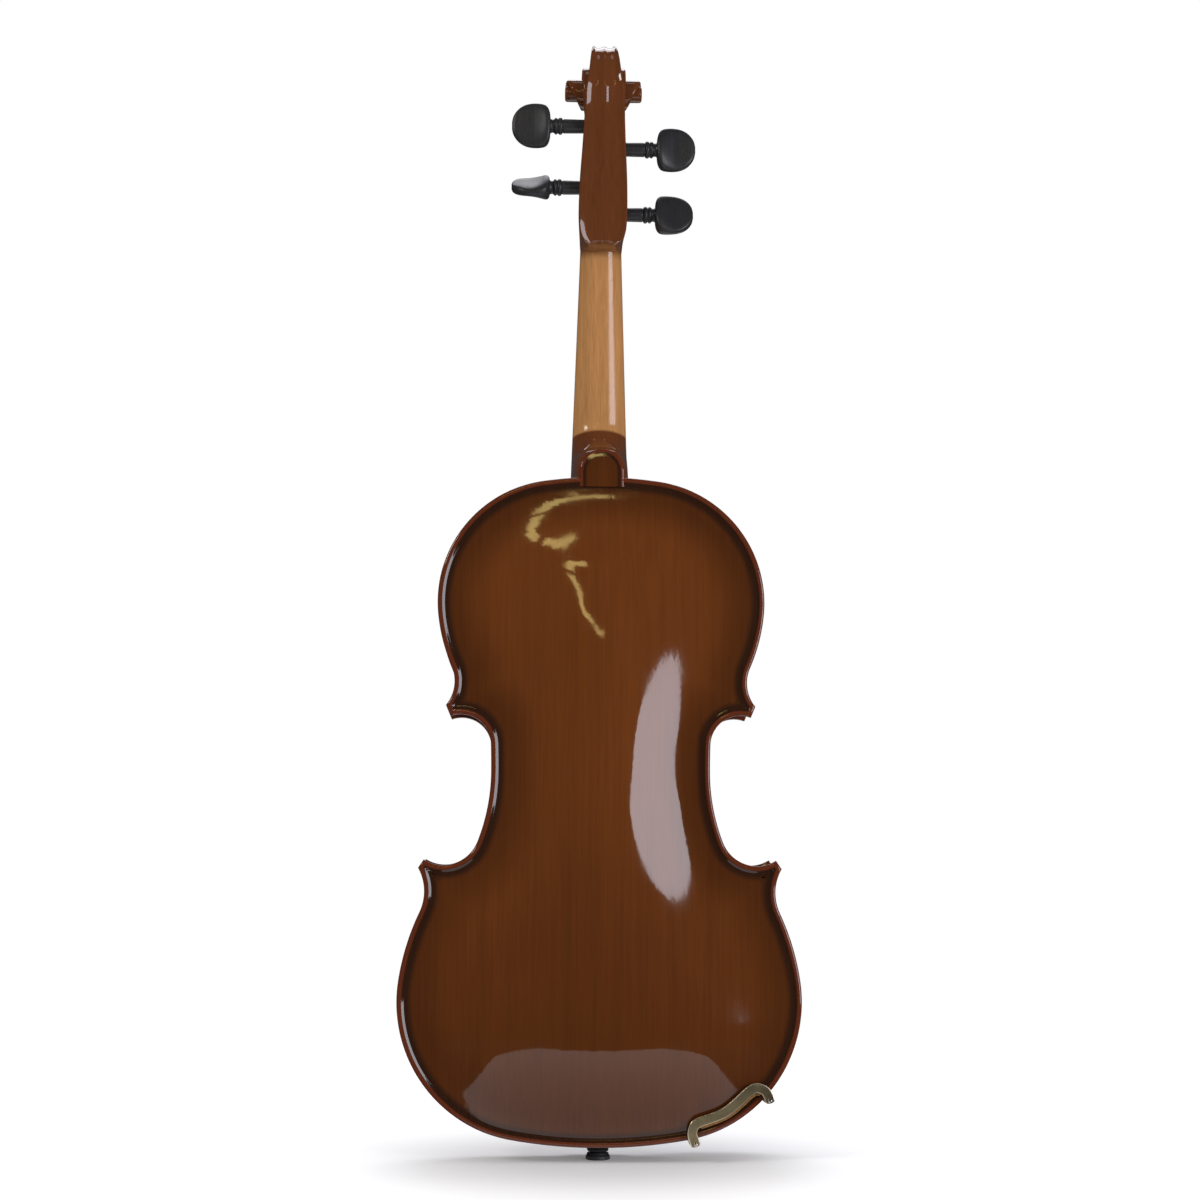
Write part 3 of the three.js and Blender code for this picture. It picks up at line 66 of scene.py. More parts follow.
# Each chain of arcs: start x, start s, heading in degrees, then radius and turn of each arc.
UPPER_CHAIN = (0, 406, 0, ((-246, 8.34), (-75.4, 87.4), (-108, 17.9), (23, 62.6)))
LOWER_CHAIN = (0, 0, 0, ((309, 9.9), (83.5, 88.2), (145.7, 17), (-28.8, 55.1)))
WAIST_UP_CHAIN = (66.6, 225, 90, ((-480, 2), (-18.4, 108.3)))
WAIST_DOWN_CHAIN = (66.6, 225, -90, ((118, 21.2), (22.1, 100.6)))
# The way from each corner's tip into the body, in degrees.
CORNER_INWARD = (152, 216)


def linear(red, green, blue):
    """A colour given as 0 to 255, as Blender keeps it."""
    def channel(value):
        value /= 255
        return value / 12.92 if value <= 0.04045 else ((value + 0.055) / 1.055) ** 2.4
    return tuple(channel(v) for v in (red, green, blue))


def colour(name, words, rgb):
    """A colour setting for the sidebar."""
    return FloatVectorProperty(
        name=name, description=words, subtype="COLOR", size=3, min=0, max=1, default=linear(*rgb))


def length(name, words, default, low, high):
    """A length setting for the sidebar, in millimetres."""
    return FloatProperty(name=name, description=words + ", mm", default=default, min=low, max=high)


class ViolaSizes(bpy.types.PropertyGroup):
    """Sizes that change the fine surfaces and not the frame under them."""
    back_arch: length("Back arch", "Height of the back's arch", 17.0, 12, 17)
    belly_arch: length("Belly arch", "Height of the belly's arch", 18.0, 12, 18)
    edge_level: length("Edge", "Height of the plates' edge", 4.2, 3, 4.2)
    channel_level: length("Channel", "Height at the channel's bottom", 3.05, 2, 4)
    outline_step: length("Outline step", "Distance between outline points", 2.2, 1, 10)
    net_step: length("Arch step", "Distance between points on the arch", 3.0, 1.5, 10)


class ViolaFinish(bpy.types.PropertyGroup):
    """Colours of the finishes."""
    varnish: colour("Varnish", "The back where it is lightest", (101, 53, 19))
    varnish_deep: colour("Deep varnish", "The back low down and towards its sides", (76, 38, 12))
    varnish_edge: colour("Varnish at the edge", "The rim of the plates", (92, 42, 22))
    # Painted shade that darkens the plates' channel; the ribs' flame uses the same dark colour.
    channel_shade_and_flame: colour("Varnish in the channel", "The dark line inside the rim", (40, 22, 12))
    belly: colour("Belly", "The front plate", (138, 74, 28))
    head: colour("Head", "The scroll and pegbox", (100, 55, 28))
    neck: colour("Neck", "The clear-finished neck", (182, 130, 78))
    bare: colour("Bare wood", "Wood inside the body", (205, 170, 120))
    ebony: colour("Ebony", "The black fittings", (40, 40, 43))
    maple: colour("Bridge", "The bridge", (204, 158, 100))
    clamp: colour("Clamp", "The chin rest's clamp", (146, 134, 104))
    cork: colour("Cork", "The clamp's cork", (150, 108, 58))


# Helpers for points, meshes and pieces.

def up_from_edge(x, y, s):
    """A point in metres, with s measured up from the body's lower edge in mm."""
    return Vector((x, y, s + BODY_BASE)) * MM


def around(count):
    """The cosine and sine of evenly spaced turns."""
    turns = [2 * math.pi * i / count for i in range(count)]
    return [(math.cos(turn), math.sin(turn)) for turn in turns]


def eased(t):
    """Takes 0 to 1 over 0 to 1, level at both ends."""
    return t * t * (3 - 2 * t)


def unit(rows):
    """Rows of numbers, each brought to length 1."""
    return rows / np.linalg.norm(rows, axis=1)[:, None]


def ways(path):
    """The directions along a flat path and to its left."""
    along = unit(np.gradient(path, axis=0))
    return along, np.stack([-along[:, 1], along[:, 0]], axis=1)


def through(rows, steps):
    """A smooth run through rows of numbers, with so many steps between each two."""
    rows = np.asarray(rows, dtype=float)
    padded = np.vstack([2 * rows[0] - rows[1], rows, 2 * rows[-1] - rows[-2]])
    run = []
    for i in range(len(rows) - 1):
        before, start, end, after = padded[i:i + 4]
        slope = end - before
        bend = 2 * before - 5 * start + 4 * end - after
        twist = 3 * start - before - 3 * end + after
        for t in np.arange(steps) / steps:
            run.append(0.5 * (2 * start + slope * t + bend * t * t + twist * t ** 3))
    run.append(rows[-1])
    return np.array(run)


def new_object(name, vertices, faces, smooth=True, sharp=None):
    """A mesh object, smooth but for edges that bend more than the sharp angle in degrees."""
    mesh = bpy.data.meshes.new(name)
    mesh.from_pydata([tuple(v) for v in vertices], [], [tuple(f) for f in faces])
    mesh.validate()
    mesh.update()
    if smooth:
        mesh.polygons.foreach_set("use_smooth", [True] * len(mesh.polygons))
    if sharp is not None:
        mesh.set_sharp_from_angle(angle=math.radians(sharp))
    piece = bpy.data.objects.new(name, mesh)
    bpy.context.scene.collection.objects.link(piece)
    return piece


def reworked(piece, change=None):
    """Changes a piece's mesh where asked, and turns all its faces outwards."""
    shape = bmesh.new()
    shape.from_mesh(piece.data)
    if change:
        change(shape)
    bmesh.ops.recalc_face_normals(shape, faces=shape.faces)
    shape.to_mesh(piece.data)
    shape.free()
    return piece


def belt(rows, count):
    """The faces between rows of points that each close into a ring."""
    faces = []
    for start in range(0, (rows - 1) * count, count):
        for i in range(count):
            j = (i + 1) % count
            faces.append((start + i, start + j, start + count + j, start + count + i))
    return faces


def rings_object(name, rings, sharp=None):
    """A closed solid over rings of equal length, given in metres."""
    count = len(rings[0])
    ends = [range(count)[::-1], range((len(rings) - 1) * count, len(rings) * count)]
    points = [p for ring in rings for p in ring]
    return reworked(new_object(name, points, ends + belt(len(rings), count), sharp=sharp))


def gathered(name, pieces):
    """Several solids that don't touch, as one object."""
    vertices, faces = [], []
    for piece in pieces:
        start = len(vertices)
        vertices += [v.co.copy() for v in piece.data.vertices]
        faces += [tuple(start + k for k in face.vertices) for face in piece.data.polygons]
        bpy.data.objects.remove(piece)
    return new_object(name, vertices, faces)


def settled(piece, sharp=None):
    """Keeps a piece as its modifiers leave it."""
    graph = bpy.context.evaluated_depsgraph_get()
    mesh = bpy.data.meshes.new_from_object(piece.evaluated_get(graph))
    piece.modifiers.clear()
    piece.data = mesh
    if sharp is not None:
        mesh.set_sharp_from_angle(angle=math.radians(sharp))
    return piece


def carved(piece, tool, how, sharp=None):
    """Joins another solid to a piece, or cuts it away, and drops the other solid."""
    cut = piece.modifiers.new(how.lower(), "BOOLEAN")
    cut.operation, cut.object, cut.solver = how, tool, "EXACT"
    settled(piece, sharp)
    bpy.data.objects.remove(tool)
    return piece


def check_faces(piece, least):
    """Stops the script where joining or cutting left too little of a piece."""
    if len(piece.data.polygons) < least:
        raise RuntimeError(f"{piece.name} was not joined or cut")


def mark(piece, name, values):
    """Keeps a number at each point of a piece, for its finish."""
    piece.data.attributes.new(name, "FLOAT", "POINT").data.foreach_set("value", values)


def stands_for(piece, slot, body, *nodes, finish=None):
    """Dresses a piece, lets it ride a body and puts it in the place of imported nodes."""
    piece.data.materials.clear()
    piece.data.materials.append(FINISHES[finish or slot])
    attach(piece, body)
    if nodes:
        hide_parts(*nodes)


# The outline and the arched plates.

def arc_chain(start_x, start_s, heading, arcs, step):
    """Points along a chain of arcs, each of which starts where the last one ends."""
    points = [(start_x, start_s)]
    angle = math.radians(heading)
    for radius, degrees in arcs:
        side, reach = math.copysign(1, radius), abs(radius)
        x, s = points[-1]
        centre_x = x - side * reach * math.sin(angle)
        centre_s = s + side * reach * math.cos(angle)
        turn = math.radians(degrees) * side
        count = max(2, math.ceil(abs(turn) * reach / step))
        for i in range(1, count + 1):
            now = angle + turn * i / count
            x = centre_x + side * reach * math.sin(now)
            points.append((x, centre_s - side * reach * math.cos(now)))
        angle += turn
    return points


class Outline:
    """The body's outline as dense points, with its corners and a distance to it from inside."""
    # How many places are looked at together, to bound the memory in use.
    CHUNK = 4000
    # Points nearer to a corner's tip than this aren't moved straight inwards but along the
    # corner, for every inset beyond TIP_INSET. BLUNTEST bounds the move at a bend.
    TIP_REACH, TIP_INSET, BLUNTEST = 4.5, 3.4, 0.6

    def __init__(self, step):
        upper = arc_chain(*UPPER_CHAIN, step)
        lower = arc_chain(*LOWER_CHAIN, step)
        waist_up = arc_chain(*WAIST_UP_CHAIN, step)
        waist_down = arc_chain(*WAIST_DOWN_CHAIN, step)
        right = upper + waist_up[::-1] + waist_down[1:] + lower[::-1]
        left = [(-x, s) for x, s in right[1:-1][::-1]]
        self.points = np.array(right + left)
        tips = [(upper[-1], waist_up[-1]), (waist_down[-1], lower[-1])]
        self.corners = []
        for side in (-1, 1):
            for (one, two), inward in zip(tips, CORNER_INWARD):
                at = np.array([side * (one[0] + two[0]) / 2, (one[1] + two[1]) / 2])
                turn = math.radians(inward)
                self.corners.append((at, np.array([side * math.cos(turn), math.sin(turn)])))

    @classmethod
    def bare(cls, points):
        """Any closed line of points, for its inside and its distances."""
        line = cls.__new__(cls)
        line.points = np.asarray(points, dtype=float)
        return line

    def contains(self, places):
        """Which of the places [x, s] lie within the line."""
        a = self.points
        b = np.roll(a, -1, axis=0)
        rise = np.where(b[:, 1] == a[:, 1], 1e-9, b[:, 1] - a[:, 1])
        inside = []
        for start in range(0, len(places), self.CHUNK):
            x, s = places[start:start + self.CHUNK, :, None].transpose(1, 0, 2)
            crosses = (a[:, 1] > s) != (b[:, 1] > s)
            left = x < (b[:, 0] - a[:, 0]) * (s - a[:, 1]) / rise + a[:, 0]
            inside.append((crosses & left).sum(axis=1) % 2 == 1)
        return np.concatenate(inside)

    def distance(self, places):
        """How far each of the places [x, s] is from the line."""
        places = np.asarray(places, dtype=float)
        a = self.points
        step = np.roll(a, -1, axis=0) - a
        size = (step ** 2).sum(axis=1)
        best = []
        for start in range(0, len(places), self.CHUNK):
            some = places[start:start + self.CHUNK, None, :] - a[None]
            t = np.clip((some * step).sum(axis=2) / size, 0, 1)
            gap = some - t[..., None] * step
            best.append(np.sqrt((gap ** 2).sum(axis=2).min(axis=1)))
        return np.concatenate(best)

    def inset(self, inset):
        """The line moved inwards, point by point, with the points in each corner gathered."""
        if inset <= 0:
            return self.points.copy()
        a = self.points
        one, two = unit(a - np.roll(a, 1, axis=0)), unit(np.roll(a, -1, axis=0) - a)
        inward = unit(np.stack([one[:, 1] + two[:, 1], -(one[:, 0] + two[:, 0])], axis=1))
        spread = inward[:, 0] * one[:, 1] - inward[:, 1] * one[:, 0]
        moved = a + inward * (inset / np.maximum(spread, self.BLUNTEST))[:, None]
        # Where the line at this inset crosses the middle of each corner, found in short steps.
        ends = []
        for at, into in self.corners:
            line = at + into * np.arange(0, 40, 0.1)[:, None]
            far = self.distance(line)
            ends.append(line[np.argmax(far >= inset)] if (far >= inset).any() else line[-1])
        ends = np.array(ends)
        near = self.distance(moved) <= inset * 0.93
        if inset > self.TIP_INSET:
            tips = np.array([at for at, _ in self.corners])
            apart = np.linalg.norm(a[:, None] - tips[None], axis=2)
            near |= apart.min(axis=1) < self.TIP_REACH
        pick = np.linalg.norm(a[:, None] - ends[None], axis=2).argmin(axis=1)
        moved[near] = ends[pick[near]]
        return moved


class Arching:
    """A smooth swell over the outline, solved as a stretched skin so that it has no creases."""
    # The skin starts at the channel's inner side, and is solved on a grid of STEP from LOW.
    CHANNEL, STEP, LOW, CELLS = 7.6, 1.5, np.array([-129.0, -6.0]), (172, 279)
    # The coarsest grid's size, and the rounds of relaxing on each grid.
    COARSEST, ROUNDS = 24, 700
    # Towards its ends the arch rises more steeply out of its channel: from where, over how far
    # and by how much.
    FLAT_FROM, END_REACH, END_RISE = 115.0, 63.0, 0.75
    TOP_FROM, TOP_REACH, TOP_RISE = 325.0, 30.0, 0.08
    # How much lower the crest is at the body's ends than at its middle, and how late it falls.
    FALL, FALL_POWER = 0.42, 2.6

    def __init__(self, outline):
        across, up = self.CELLS
        xs = self.LOW[0] + self.STEP * np.arange(across + 1)
        ss = self.LOW[1] + self.STEP * np.arange(up + 1)
        grid = np.stack(np.meshgrid(xs, ss, indexing="ij"), axis=-1).reshape(-1, 2)
        inside = outline.contains(grid) & (outline.distance(grid) > self.CHANNEL)
        skin = self.relax(inside.reshape(across + 1, up + 1))
        centre = skin[across // 2]
        middle = int((BODY_MIDDLE - self.LOW[1]) / self.STEP)
        lower = int(np.argmax(centre[:middle]))
        upper = middle + int(np.argmax(centre[middle:]))
        crest = centre.copy()
        crest[:lower] = centre[lower]
        crest[upper:] = centre[upper]
        self.share = skin / np.maximum(crest, 1e-9)[None, :]

    def relax(self, inside):
        """Solves the skin's height on the grid, by levels of halved steps."""
        levels = [inside]
        while min(levels[-1].shape) > self.COARSEST:
            levels.append(levels[-1][::2, ::2])
        skin = np.zeros(levels[-1].shape)
        for depth in range(len(levels) - 1, -1, -1):
            mask = levels[depth]
            if skin.shape != mask.shape:
                finer = np.repeat(np.repeat(skin, 2, axis=0), 2, axis=1)
                rows, columns = np.minimum(finer.shape, mask.shape)
                skin = np.zeros(mask.shape)
                skin[:rows, :columns] = finer[:rows, :columns]
            load = float(4 ** depth)
            for _ in range(self.ROUNDS):
                around_it = np.zeros_like(skin)
                beside = skin[2:, 1:-1] + skin[:-2, 1:-1] + skin[1:-1, 2:] + skin[1:-1, :-2]
                around_it[1:-1, 1:-1] = beside + load
                skin = np.where(mask, around_it / 4, 0)
        return skin

    def sample(self, places):
        """The skin's share, read between grid points with a smooth cubic."""
        at = (places - self.LOW) / self.STEP
        cell = np.clip(np.floor(at).astype(int), 1, np.array(self.share.shape) - 3)
        part = at - cell

        def weights(t):
            return (
                -0.5 * t + t ** 2 - 0.5 * t ** 3, 1 - 2.5 * t ** 2 + 1.5 * t ** 3,
                0.5 * t + 2 * t ** 2 - 1.5 * t ** 3, -0.5 * t ** 2 + 0.5 * t ** 3,
            )
        total = np.zeros(len(places))
        across, up = weights(part[:, 0]), weights(part[:, 1])
        for i in range(4):
            for j in range(4):
                spot = self.share[cell[:, 0] + i - 1, cell[:, 1] + j - 1]
                total += across[i] * up[j] * spot
        return np.clip(total, 0, 1)

    def swell(self, places):
        """How far up its arch each place is, from 0 in the channel to 1 at the crest."""
        end = np.clip((self.FLAT_FROM - places[:, 1]) / self.END_REACH, 0, 1)
        top = np.clip((places[:, 1] - self.TOP_FROM) / self.TOP_REACH, 0, 1)
        power = 0.5 + self.END_RISE * eased(end) + self.TOP_RISE * eased(top)
        along = (1 - self.sample(places)) ** power
        reach = np.abs(places[:, 1] - BODY_MIDDLE) / BODY_MIDDLE
        crown = 1 - self.FALL * reach ** self.FALL_POWER
        return crown * (1 + np.cos(np.pi * along)) / 2


def placed_on(points, level, side):
    """Points [x, s] at a height outside the rib line, in metres."""
    y = side * (PLATE_INNER + level)
    return np.stack([points[:, 0], y, points[:, 1] + BODY_BASE], axis=1) * MM


def crest_net(boundary, step):
    """Triangles over the field inside a closed line, with evenly spread inner points."""
    # The inner points lie as in a honeycomb, and keep about half a step from the line.
    low, high = boundary.min(axis=0), boundary.max(axis=0)
    rows = np.arange(low[1] + step / 2, high[1], step * 0.866)
    inner = []
    for number, s in enumerate(rows):
        shift = step / 2 if number % 2 else 0.0
        reach = int(max(-low[0], high[0]) / step) + 1
        inner += [((i * step) + shift, s) for i in range(-reach, reach + 1)]
    inner = np.array(inner)
    line = Outline.bare(boundary)
    inner = inner[line.contains(inner)]
    inner = inner[line.distance(inner) > step * 0.55]
    points = [Vector(p) for p in np.concatenate([boundary, inner])]
    count = len(boundary)
    edges = [(i, (i + 1) % count) for i in range(count)]
    found = delaunay_2d_cdt(points, edges, [], 1, 1e-5)
    return np.array([tuple(v) for v in found[0]]), [tuple(f) for f in found[2]]


def welded(shape):
    """Merges points that coincide, and the points of open edges that nearly do."""
    bmesh.ops.remove_doubles(shape, verts=shape.verts, dist=0.00003)
    still_open = [v for v in shape.verts if v.is_boundary]
    bmesh.ops.remove_doubles(shape, verts=still_open, dist=0.0001)


def plate_object(name, outline, arching, side, arch, thickness, sizes):
    """An arched plate with a rounded rim, a channel and its inner face."""
    edge, channel = sizes.edge_level, sizes.channel_level
    seat, scoop_end = 8.8, 7.6
    # The rim as [inset from the outline, height], from the inner face round to the top.
    rim = [
        (0.8, 0.0), (0.15, 0.25), (0, 0.8), (0, 2.9), (0.25, 3.6), (0.75, edge - 0.14),
        (1.5, edge), (2.4, edge - 0.12),
    ]
    # The channel as [inset, share of the way up from its bottom to the edge].
    scoop = [(3.2, 0.72), (4.0, 0.25), (4.8, 0.02), (5.8, 0.0), (scoop_end, 0.05)]
    levels = [(seat, 0.0)] + rim
    levels += [(inset, channel + (edge - channel) * share) for inset, share in scoop]
    count = len(outline.points)
    vertices = [placed_on(outline.inset(inset), np.full(count, level), side)
                for inset, level in levels]
    faces = belt(len(levels), count)
    base = levels[-1][1]
    for inset, floor, rise in ((scoop_end, base, arch - base), (seat, 0.0, arch - thickness)):
        ring = outline.inset(inset)
        ring = ring[np.linalg.norm(ring - np.roll(ring, -1, axis=0), axis=1) > 0.02]
        flat, triangles = crest_net(ring, sizes.net_step)
        start = sum(len(part) for part in vertices)
        vertices.append(placed_on(flat, floor + rise * arching.swell(flat), side))
        faces += [tuple(start + k for k in triangle) for triangle in triangles]
    return reworked(new_object(name, np.concatenate(vertices), faces), welded)


def mark_distance(piece, outline):
    """Keeps each point's distance from the outline, for the finish."""
    spots = np.empty(len(piece.data.vertices) * 3)
    piece.data.vertices.foreach_get("co", spots)
    spots = spots.reshape(-1, 3) / MM
    flat = np.stack([spots[:, 0], spots[:, 2] - BODY_BASE], axis=1)
    mark(piece, "rim_distance", outline.distance(flat))


def button_object(sizes):
    """The rounded tab of the back over the heel."""
    half, length_out, start, edge = 13.9, 17.6, BODY_LENGTH - 6, sizes.edge_level
    # Its levels as [inset, height, distance from the rim as the finish sees it], which gives the
    # flat button the plates' redder rim and, just inside it, their painted channel shade.
    levels = [
        (0.5, 0.0, 0), (0, 0.5, 0), (0, 3.0, 0), (0.3, 3.7, 0.3), (0.9, edge - 0.08, 0.9),
        (1.8, edge, 1.8), (6, edge, 12), (12, edge, 16),
    ]
    rings, marks = [], []
    for inset, level, seen in levels:
        wide, top = half - inset, BODY_LENGTH + length_out - inset
        turns = [math.pi * i / 32 for i in range(33)]
        bow = [(wide * math.cos(turn), top - wide + wide * math.sin(turn)) for turn in turns]
        ring = [(wide, start), *bow, (-wide, start)]
        rings.append([up_from_edge(x, -(PLATE_INNER + level), s) for x, s in ring])
        marks += [seen] * len(ring)
    piece = rings_object("back_button", rings, sharp=50)
    mark(piece, "rim_distance", marks)
    return piece


# The finishes.

class Finish:
    """A material being put together, with short ways to add and join its nodes."""

    def __init__(self, name, tree=None):
        if tree is None:
            self.material = bpy.data.materials.new(name)
            self.material.use_nodes = True
            tree = self.material.node_tree
            tree.nodes.clear()
            self.shader = tree.nodes.new("ShaderNodeBsdfPrincipled")
            out = tree.nodes.new("ShaderNodeOutputMaterial")
            tree.links.new(self.shader.outputs["BSDF"], out.inputs["Surface"])
        self.tree = tree

    def node(self, kind, **values):
        """Adds a node and sets its properties."""
        made = self.tree.nodes.new(kind)
        for key, value in values.items():
            setattr(made, key, value)
        return made

    def join(self, source, target):
        """Links an output to an input."""
        self.tree.links.new(source, target)

    def feed(self, target, value):
        """Sets a socket to a value, or joins another socket to it."""
        if isinstance(value, bpy.types.NodeSocket):
            self.join(value, target)
        else:
            target.default_value = value

    def tint(self, target, value):
        """Sets a colour socket to a colour, or joins another socket to it."""
        self.feed(target, value if isinstance(value, bpy.types.NodeSocket) else (*value[:3], 1))

    def coordinates(self):
        """Places on the piece, in metres."""
        return self.node("ShaderNodeTexCoord").outputs["Object"]

    def along(self, letter):
        """The place along X, Y or Z, in metres."""
        split = self.node("ShaderNodeSeparateXYZ")
        self.join(self.coordinates(), split.inputs[0])
        return split.outputs[letter]

    def range(self, value, low, high, start, end, smooth=False):
        """Takes low to high over to start to end."""
        way = "SMOOTHSTEP" if smooth else "LINEAR"
        made = self.node("ShaderNodeMapRange", interpolation_type=way)
        self.feed(made.inputs["Value"], value)
        names = ("From Min", "From Max", "To Min", "To Max")
        for key, number in zip(names, (low, high, start, end)):
            made.inputs[key].default_value = number
        return made.outputs["Result"]

    def math(self, what, one, two, clamp=False):
        """Works out a value from two sockets or numbers."""
        made = self.node("ShaderNodeMath", operation=what, use_clamp=clamp)
        self.feed(made.inputs[0], one)
        self.feed(made.inputs[1], two)
        return made.outputs[0]

    def times(self, one, two):
        """Multiplies two sockets or numbers."""
        return self.math("MULTIPLY", one, two)

    def plus(self, one, two, clamp=False):
        """Adds two sockets or numbers."""
        return self.math("ADD", one, two, clamp)

    def mix(self, share, one, two):
        """Mixes two colours, each a socket or numbers."""
        made = self.node("ShaderNodeMix", data_type="RGBA")
        self.feed(made.inputs["Factor"], share)
        # The sockets for colours come after those for numbers and vectors.
        self.tint(made.inputs[6], one)
        self.tint(made.inputs[7], two)
        return made.outputs[2]

    def clouds(self, where, scale, detail, roughness=0.5):
        """Cloudy values between 0 and 1 at the given places."""
        made = self.node("ShaderNodeTexNoise")
        self.join(where, made.inputs["Vector"])
        for key, value in (("Scale", scale), ("Detail", detail), ("Roughness", roughness)):
            self.feed(made.inputs[key], value)
        return made.outputs["Fac"]

    def noise(self, scale, detail=3.0, roughness=0.5, stretch=(1, 1, 1)):
        """Clouds on the piece, drawn out where the stretch is small."""
        mapping = self.node("ShaderNodeMapping")
        mapping.inputs["Scale"].default_value = stretch
        self.join(self.coordinates(), mapping.inputs["Vector"])
        return self.clouds(mapping.outputs[0], scale, detail, roughness)

    def group(self, tree, **values):
        """Adds a shared node group with its own values."""
        made = self.node("ShaderNodeGroup")
        made.node_tree = tree
        for key, value in values.items():
            self.feed(made.inputs[key.replace("_", " ")], value)
        return made

    def bump(self, height, strength, distance):
        """Lets a height change the surface's normal."""
        made = self.node("ShaderNodeBump")
        self.join(height, made.inputs["Height"])
        made.inputs["Strength"].default_value = strength
        made.inputs["Distance"].default_value = distance
        self.join(made.outputs[0], self.shader.inputs["Normal"])

    def surface(self, colour, roughness, **more):
        """Sets the shader's inputs and gives the finished material."""
        self.tint(self.shader.inputs["Base Color"], colour)
        self.feed(self.shader.inputs["Roughness"], roughness)
        for key, value in more.items():
            self.feed(self.shader.inputs[key.replace("_", " ")], value)
        return self.material


def group_tree(name, inputs, outputs):
    """An empty node group with its sockets, its input node and its output node."""
    tree = bpy.data.node_groups.new(name, "ShaderNodeTree")
    for socket, kind, default in inputs:
        made = tree.interface.new_socket(name=socket, in_out="INPUT", socket_type=kind)
        if default is not None:
            made.default_value = default
    for socket, kind in outputs:
        tree.interface.new_socket(name=socket, in_out="OUTPUT", socket_type=kind)
    return tree, tree.nodes.new("NodeGroupInput"), tree.nodes.new("NodeGroupOutput")


def grain_group():
    """Straight wood grain along the instrument: broad soft bands and fine dark lines."""
    known = bpy.data.node_groups.get("Straight grain")
    if known:
        return known
    tree, into, out = group_tree(
        "Straight grain",
        [("Colour", "NodeSocketColor", (0.5, 0.3, 0.1, 1)), ("Fineness", "NodeSocketFloat", 500.0),
         ("Contrast", "NodeSocketFloat", 0.3)],
        [("Colour", "NodeSocketColor"), ("Height", "NodeSocketFloat")],
    )
    make = Finish("", tree)
    scale = make.node("ShaderNodeCombineXYZ")
    # The grain is finest across the instrument and long along it.
    for key, share in (("X", 1.0), ("Y", 0.35), ("Z", 0.022)):
        make.join(make.times(into.outputs["Fineness"], share), scale.inputs[key])
    spot = make.node("ShaderNodeVectorMath", operation="MULTIPLY")
    make.join(make.coordinates(), spot.inputs[0])
    make.join(scale.outputs[0], spot.inputs[1])

    fine = make.clouds(spot.outputs[0], 1.0, 3.0, 0.65)
    broad = make.clouds(spot.outputs[0], 0.12, 2.0, 0.65)
    together = make.plus(make.times(fine, 0.65), make.times(broad, 0.35))
    centred = make.range(together, 0.3, 0.7, -1, 1)
    gain = make.plus(make.times(centred, into.outputs["Contrast"]), 1.0)
    shade = make.node("ShaderNodeVectorMath", operation="SCALE")
    make.join(into.outputs["Colour"], shade.inputs[0])
    make.join(gain, shade.inputs["Scale"])
    make.join(shade.outputs[0], out.inputs["Colour"])
    make.join(together, out.inputs["Height"])
    return tree


def handling_group():
    """Faint smears and dust that vary a gloss from place to place."""
    known = bpy.data.node_groups.get("Handling")
    if known:
        return known
    sockets = (("Gloss", 0.2), ("Spread", 0.06), ("Size", 40.0))
    tree, into, out = group_tree(
        "Handling",
        [(name, "NodeSocketFloat", default) for name, default in sockets],
        [("Roughness", "NodeSocketFloat")],
    )
    make = Finish("", tree)
    smears = make.clouds(make.coordinates(), into.outputs["Size"], 5)
    centred = make.range(smears, 0.3, 0.7, -1, 1)
    swing = make.times(centred, into.outputs["Spread"])
    make.join(make.plus(into.outputs["Gloss"], swing, clamp=True), out.inputs["Roughness"])
    return tree


def handled(finish, gloss, spread=0.05, size=40.0):
    """A roughness about the given one, with smears of the given fineness."""
    made = finish.group(handling_group(), Gloss=gloss, Spread=spread, Size=size)
    return made.outputs["Roughness"]


def grained(finish, colour_now, fineness, contrast):
    """A colour, a socket or numbers, with wood grain in it."""
    if not isinstance(colour_now, bpy.types.NodeSocket):
        colour_now = (*colour_now[:3], 1)
    return finish.group(grain_group(), Colour=colour_now, Fineness=fineness, Contrast=contrast)


def plate_finish(name, colours, lit, fineness, contrast):
    """Gloss varnish, darker down low and outwards, with painted shade in the channel and a redder
    rim.
    """
    finish = Finish(name)
    # Distances from the rim are in mm, and heights and noise in metres.
    far = finish.node("ShaderNodeAttribute", attribute_name="rim_distance").outputs["Fac"]
    low = finish.range(finish.along("Z"), 0.03, 0.27, 0, 1, True)
    outward = finish.range(far, 9, 38, 0.0, 1, True)
    blotch = finish.range(finish.noise(9.0, 3.0), 0.35, 0.65, -0.12, 0.12)
    upward = finish.plus(finish.times(low, 0.7), 0.3)
    glow = finish.times(outward, upward)
    body = finish.mix(finish.plus(glow, blotch, clamp=True), colours.varnish_deep, lit)
    # Painted shade: the hollow of the channel is drawn dark.
    channel = finish.range(far, 5.6, 10.0, 1, 0, True)
    body = finish.mix(finish.times(channel, 0.9), body, colours.channel_shade_and_flame)
    rim = finish.range(far, 2.4, 3.4, 1, 0, True)
    grain = grained(finish, finish.mix(rim, body, colours.varnish_edge), fineness, contrast)
    finish.bump(finish.noise(260.0, 2.0), 0.04, 0.0004)
    return finish.surface(grain.outputs["Colour"], handled(finish, 0.055, 0.025))


def rib_finish(colours):
    """Gloss varnish over flamed ribs."""
    finish = Finish("rib varnish")
    blotch = finish.range(finish.noise(14.0, 3.0), 0.3, 0.7, 0, 1)
    body = finish.mix(blotch, colours.varnish_deep, colours.varnish)
    flame = finish.range(finish.noise(95.0, 1.0, 0.4, (1, 1, 0.12)), 0.35, 0.65, 0, 1)
    body = finish.mix(finish.times(flame, 0.35), body, colours.channel_shade_and_flame)
    finish.bump(finish.noise(300.0, 2.0), 0.05, 0.0004)
    return finish.surface(body, handled(finish, 0.07, 0.03))


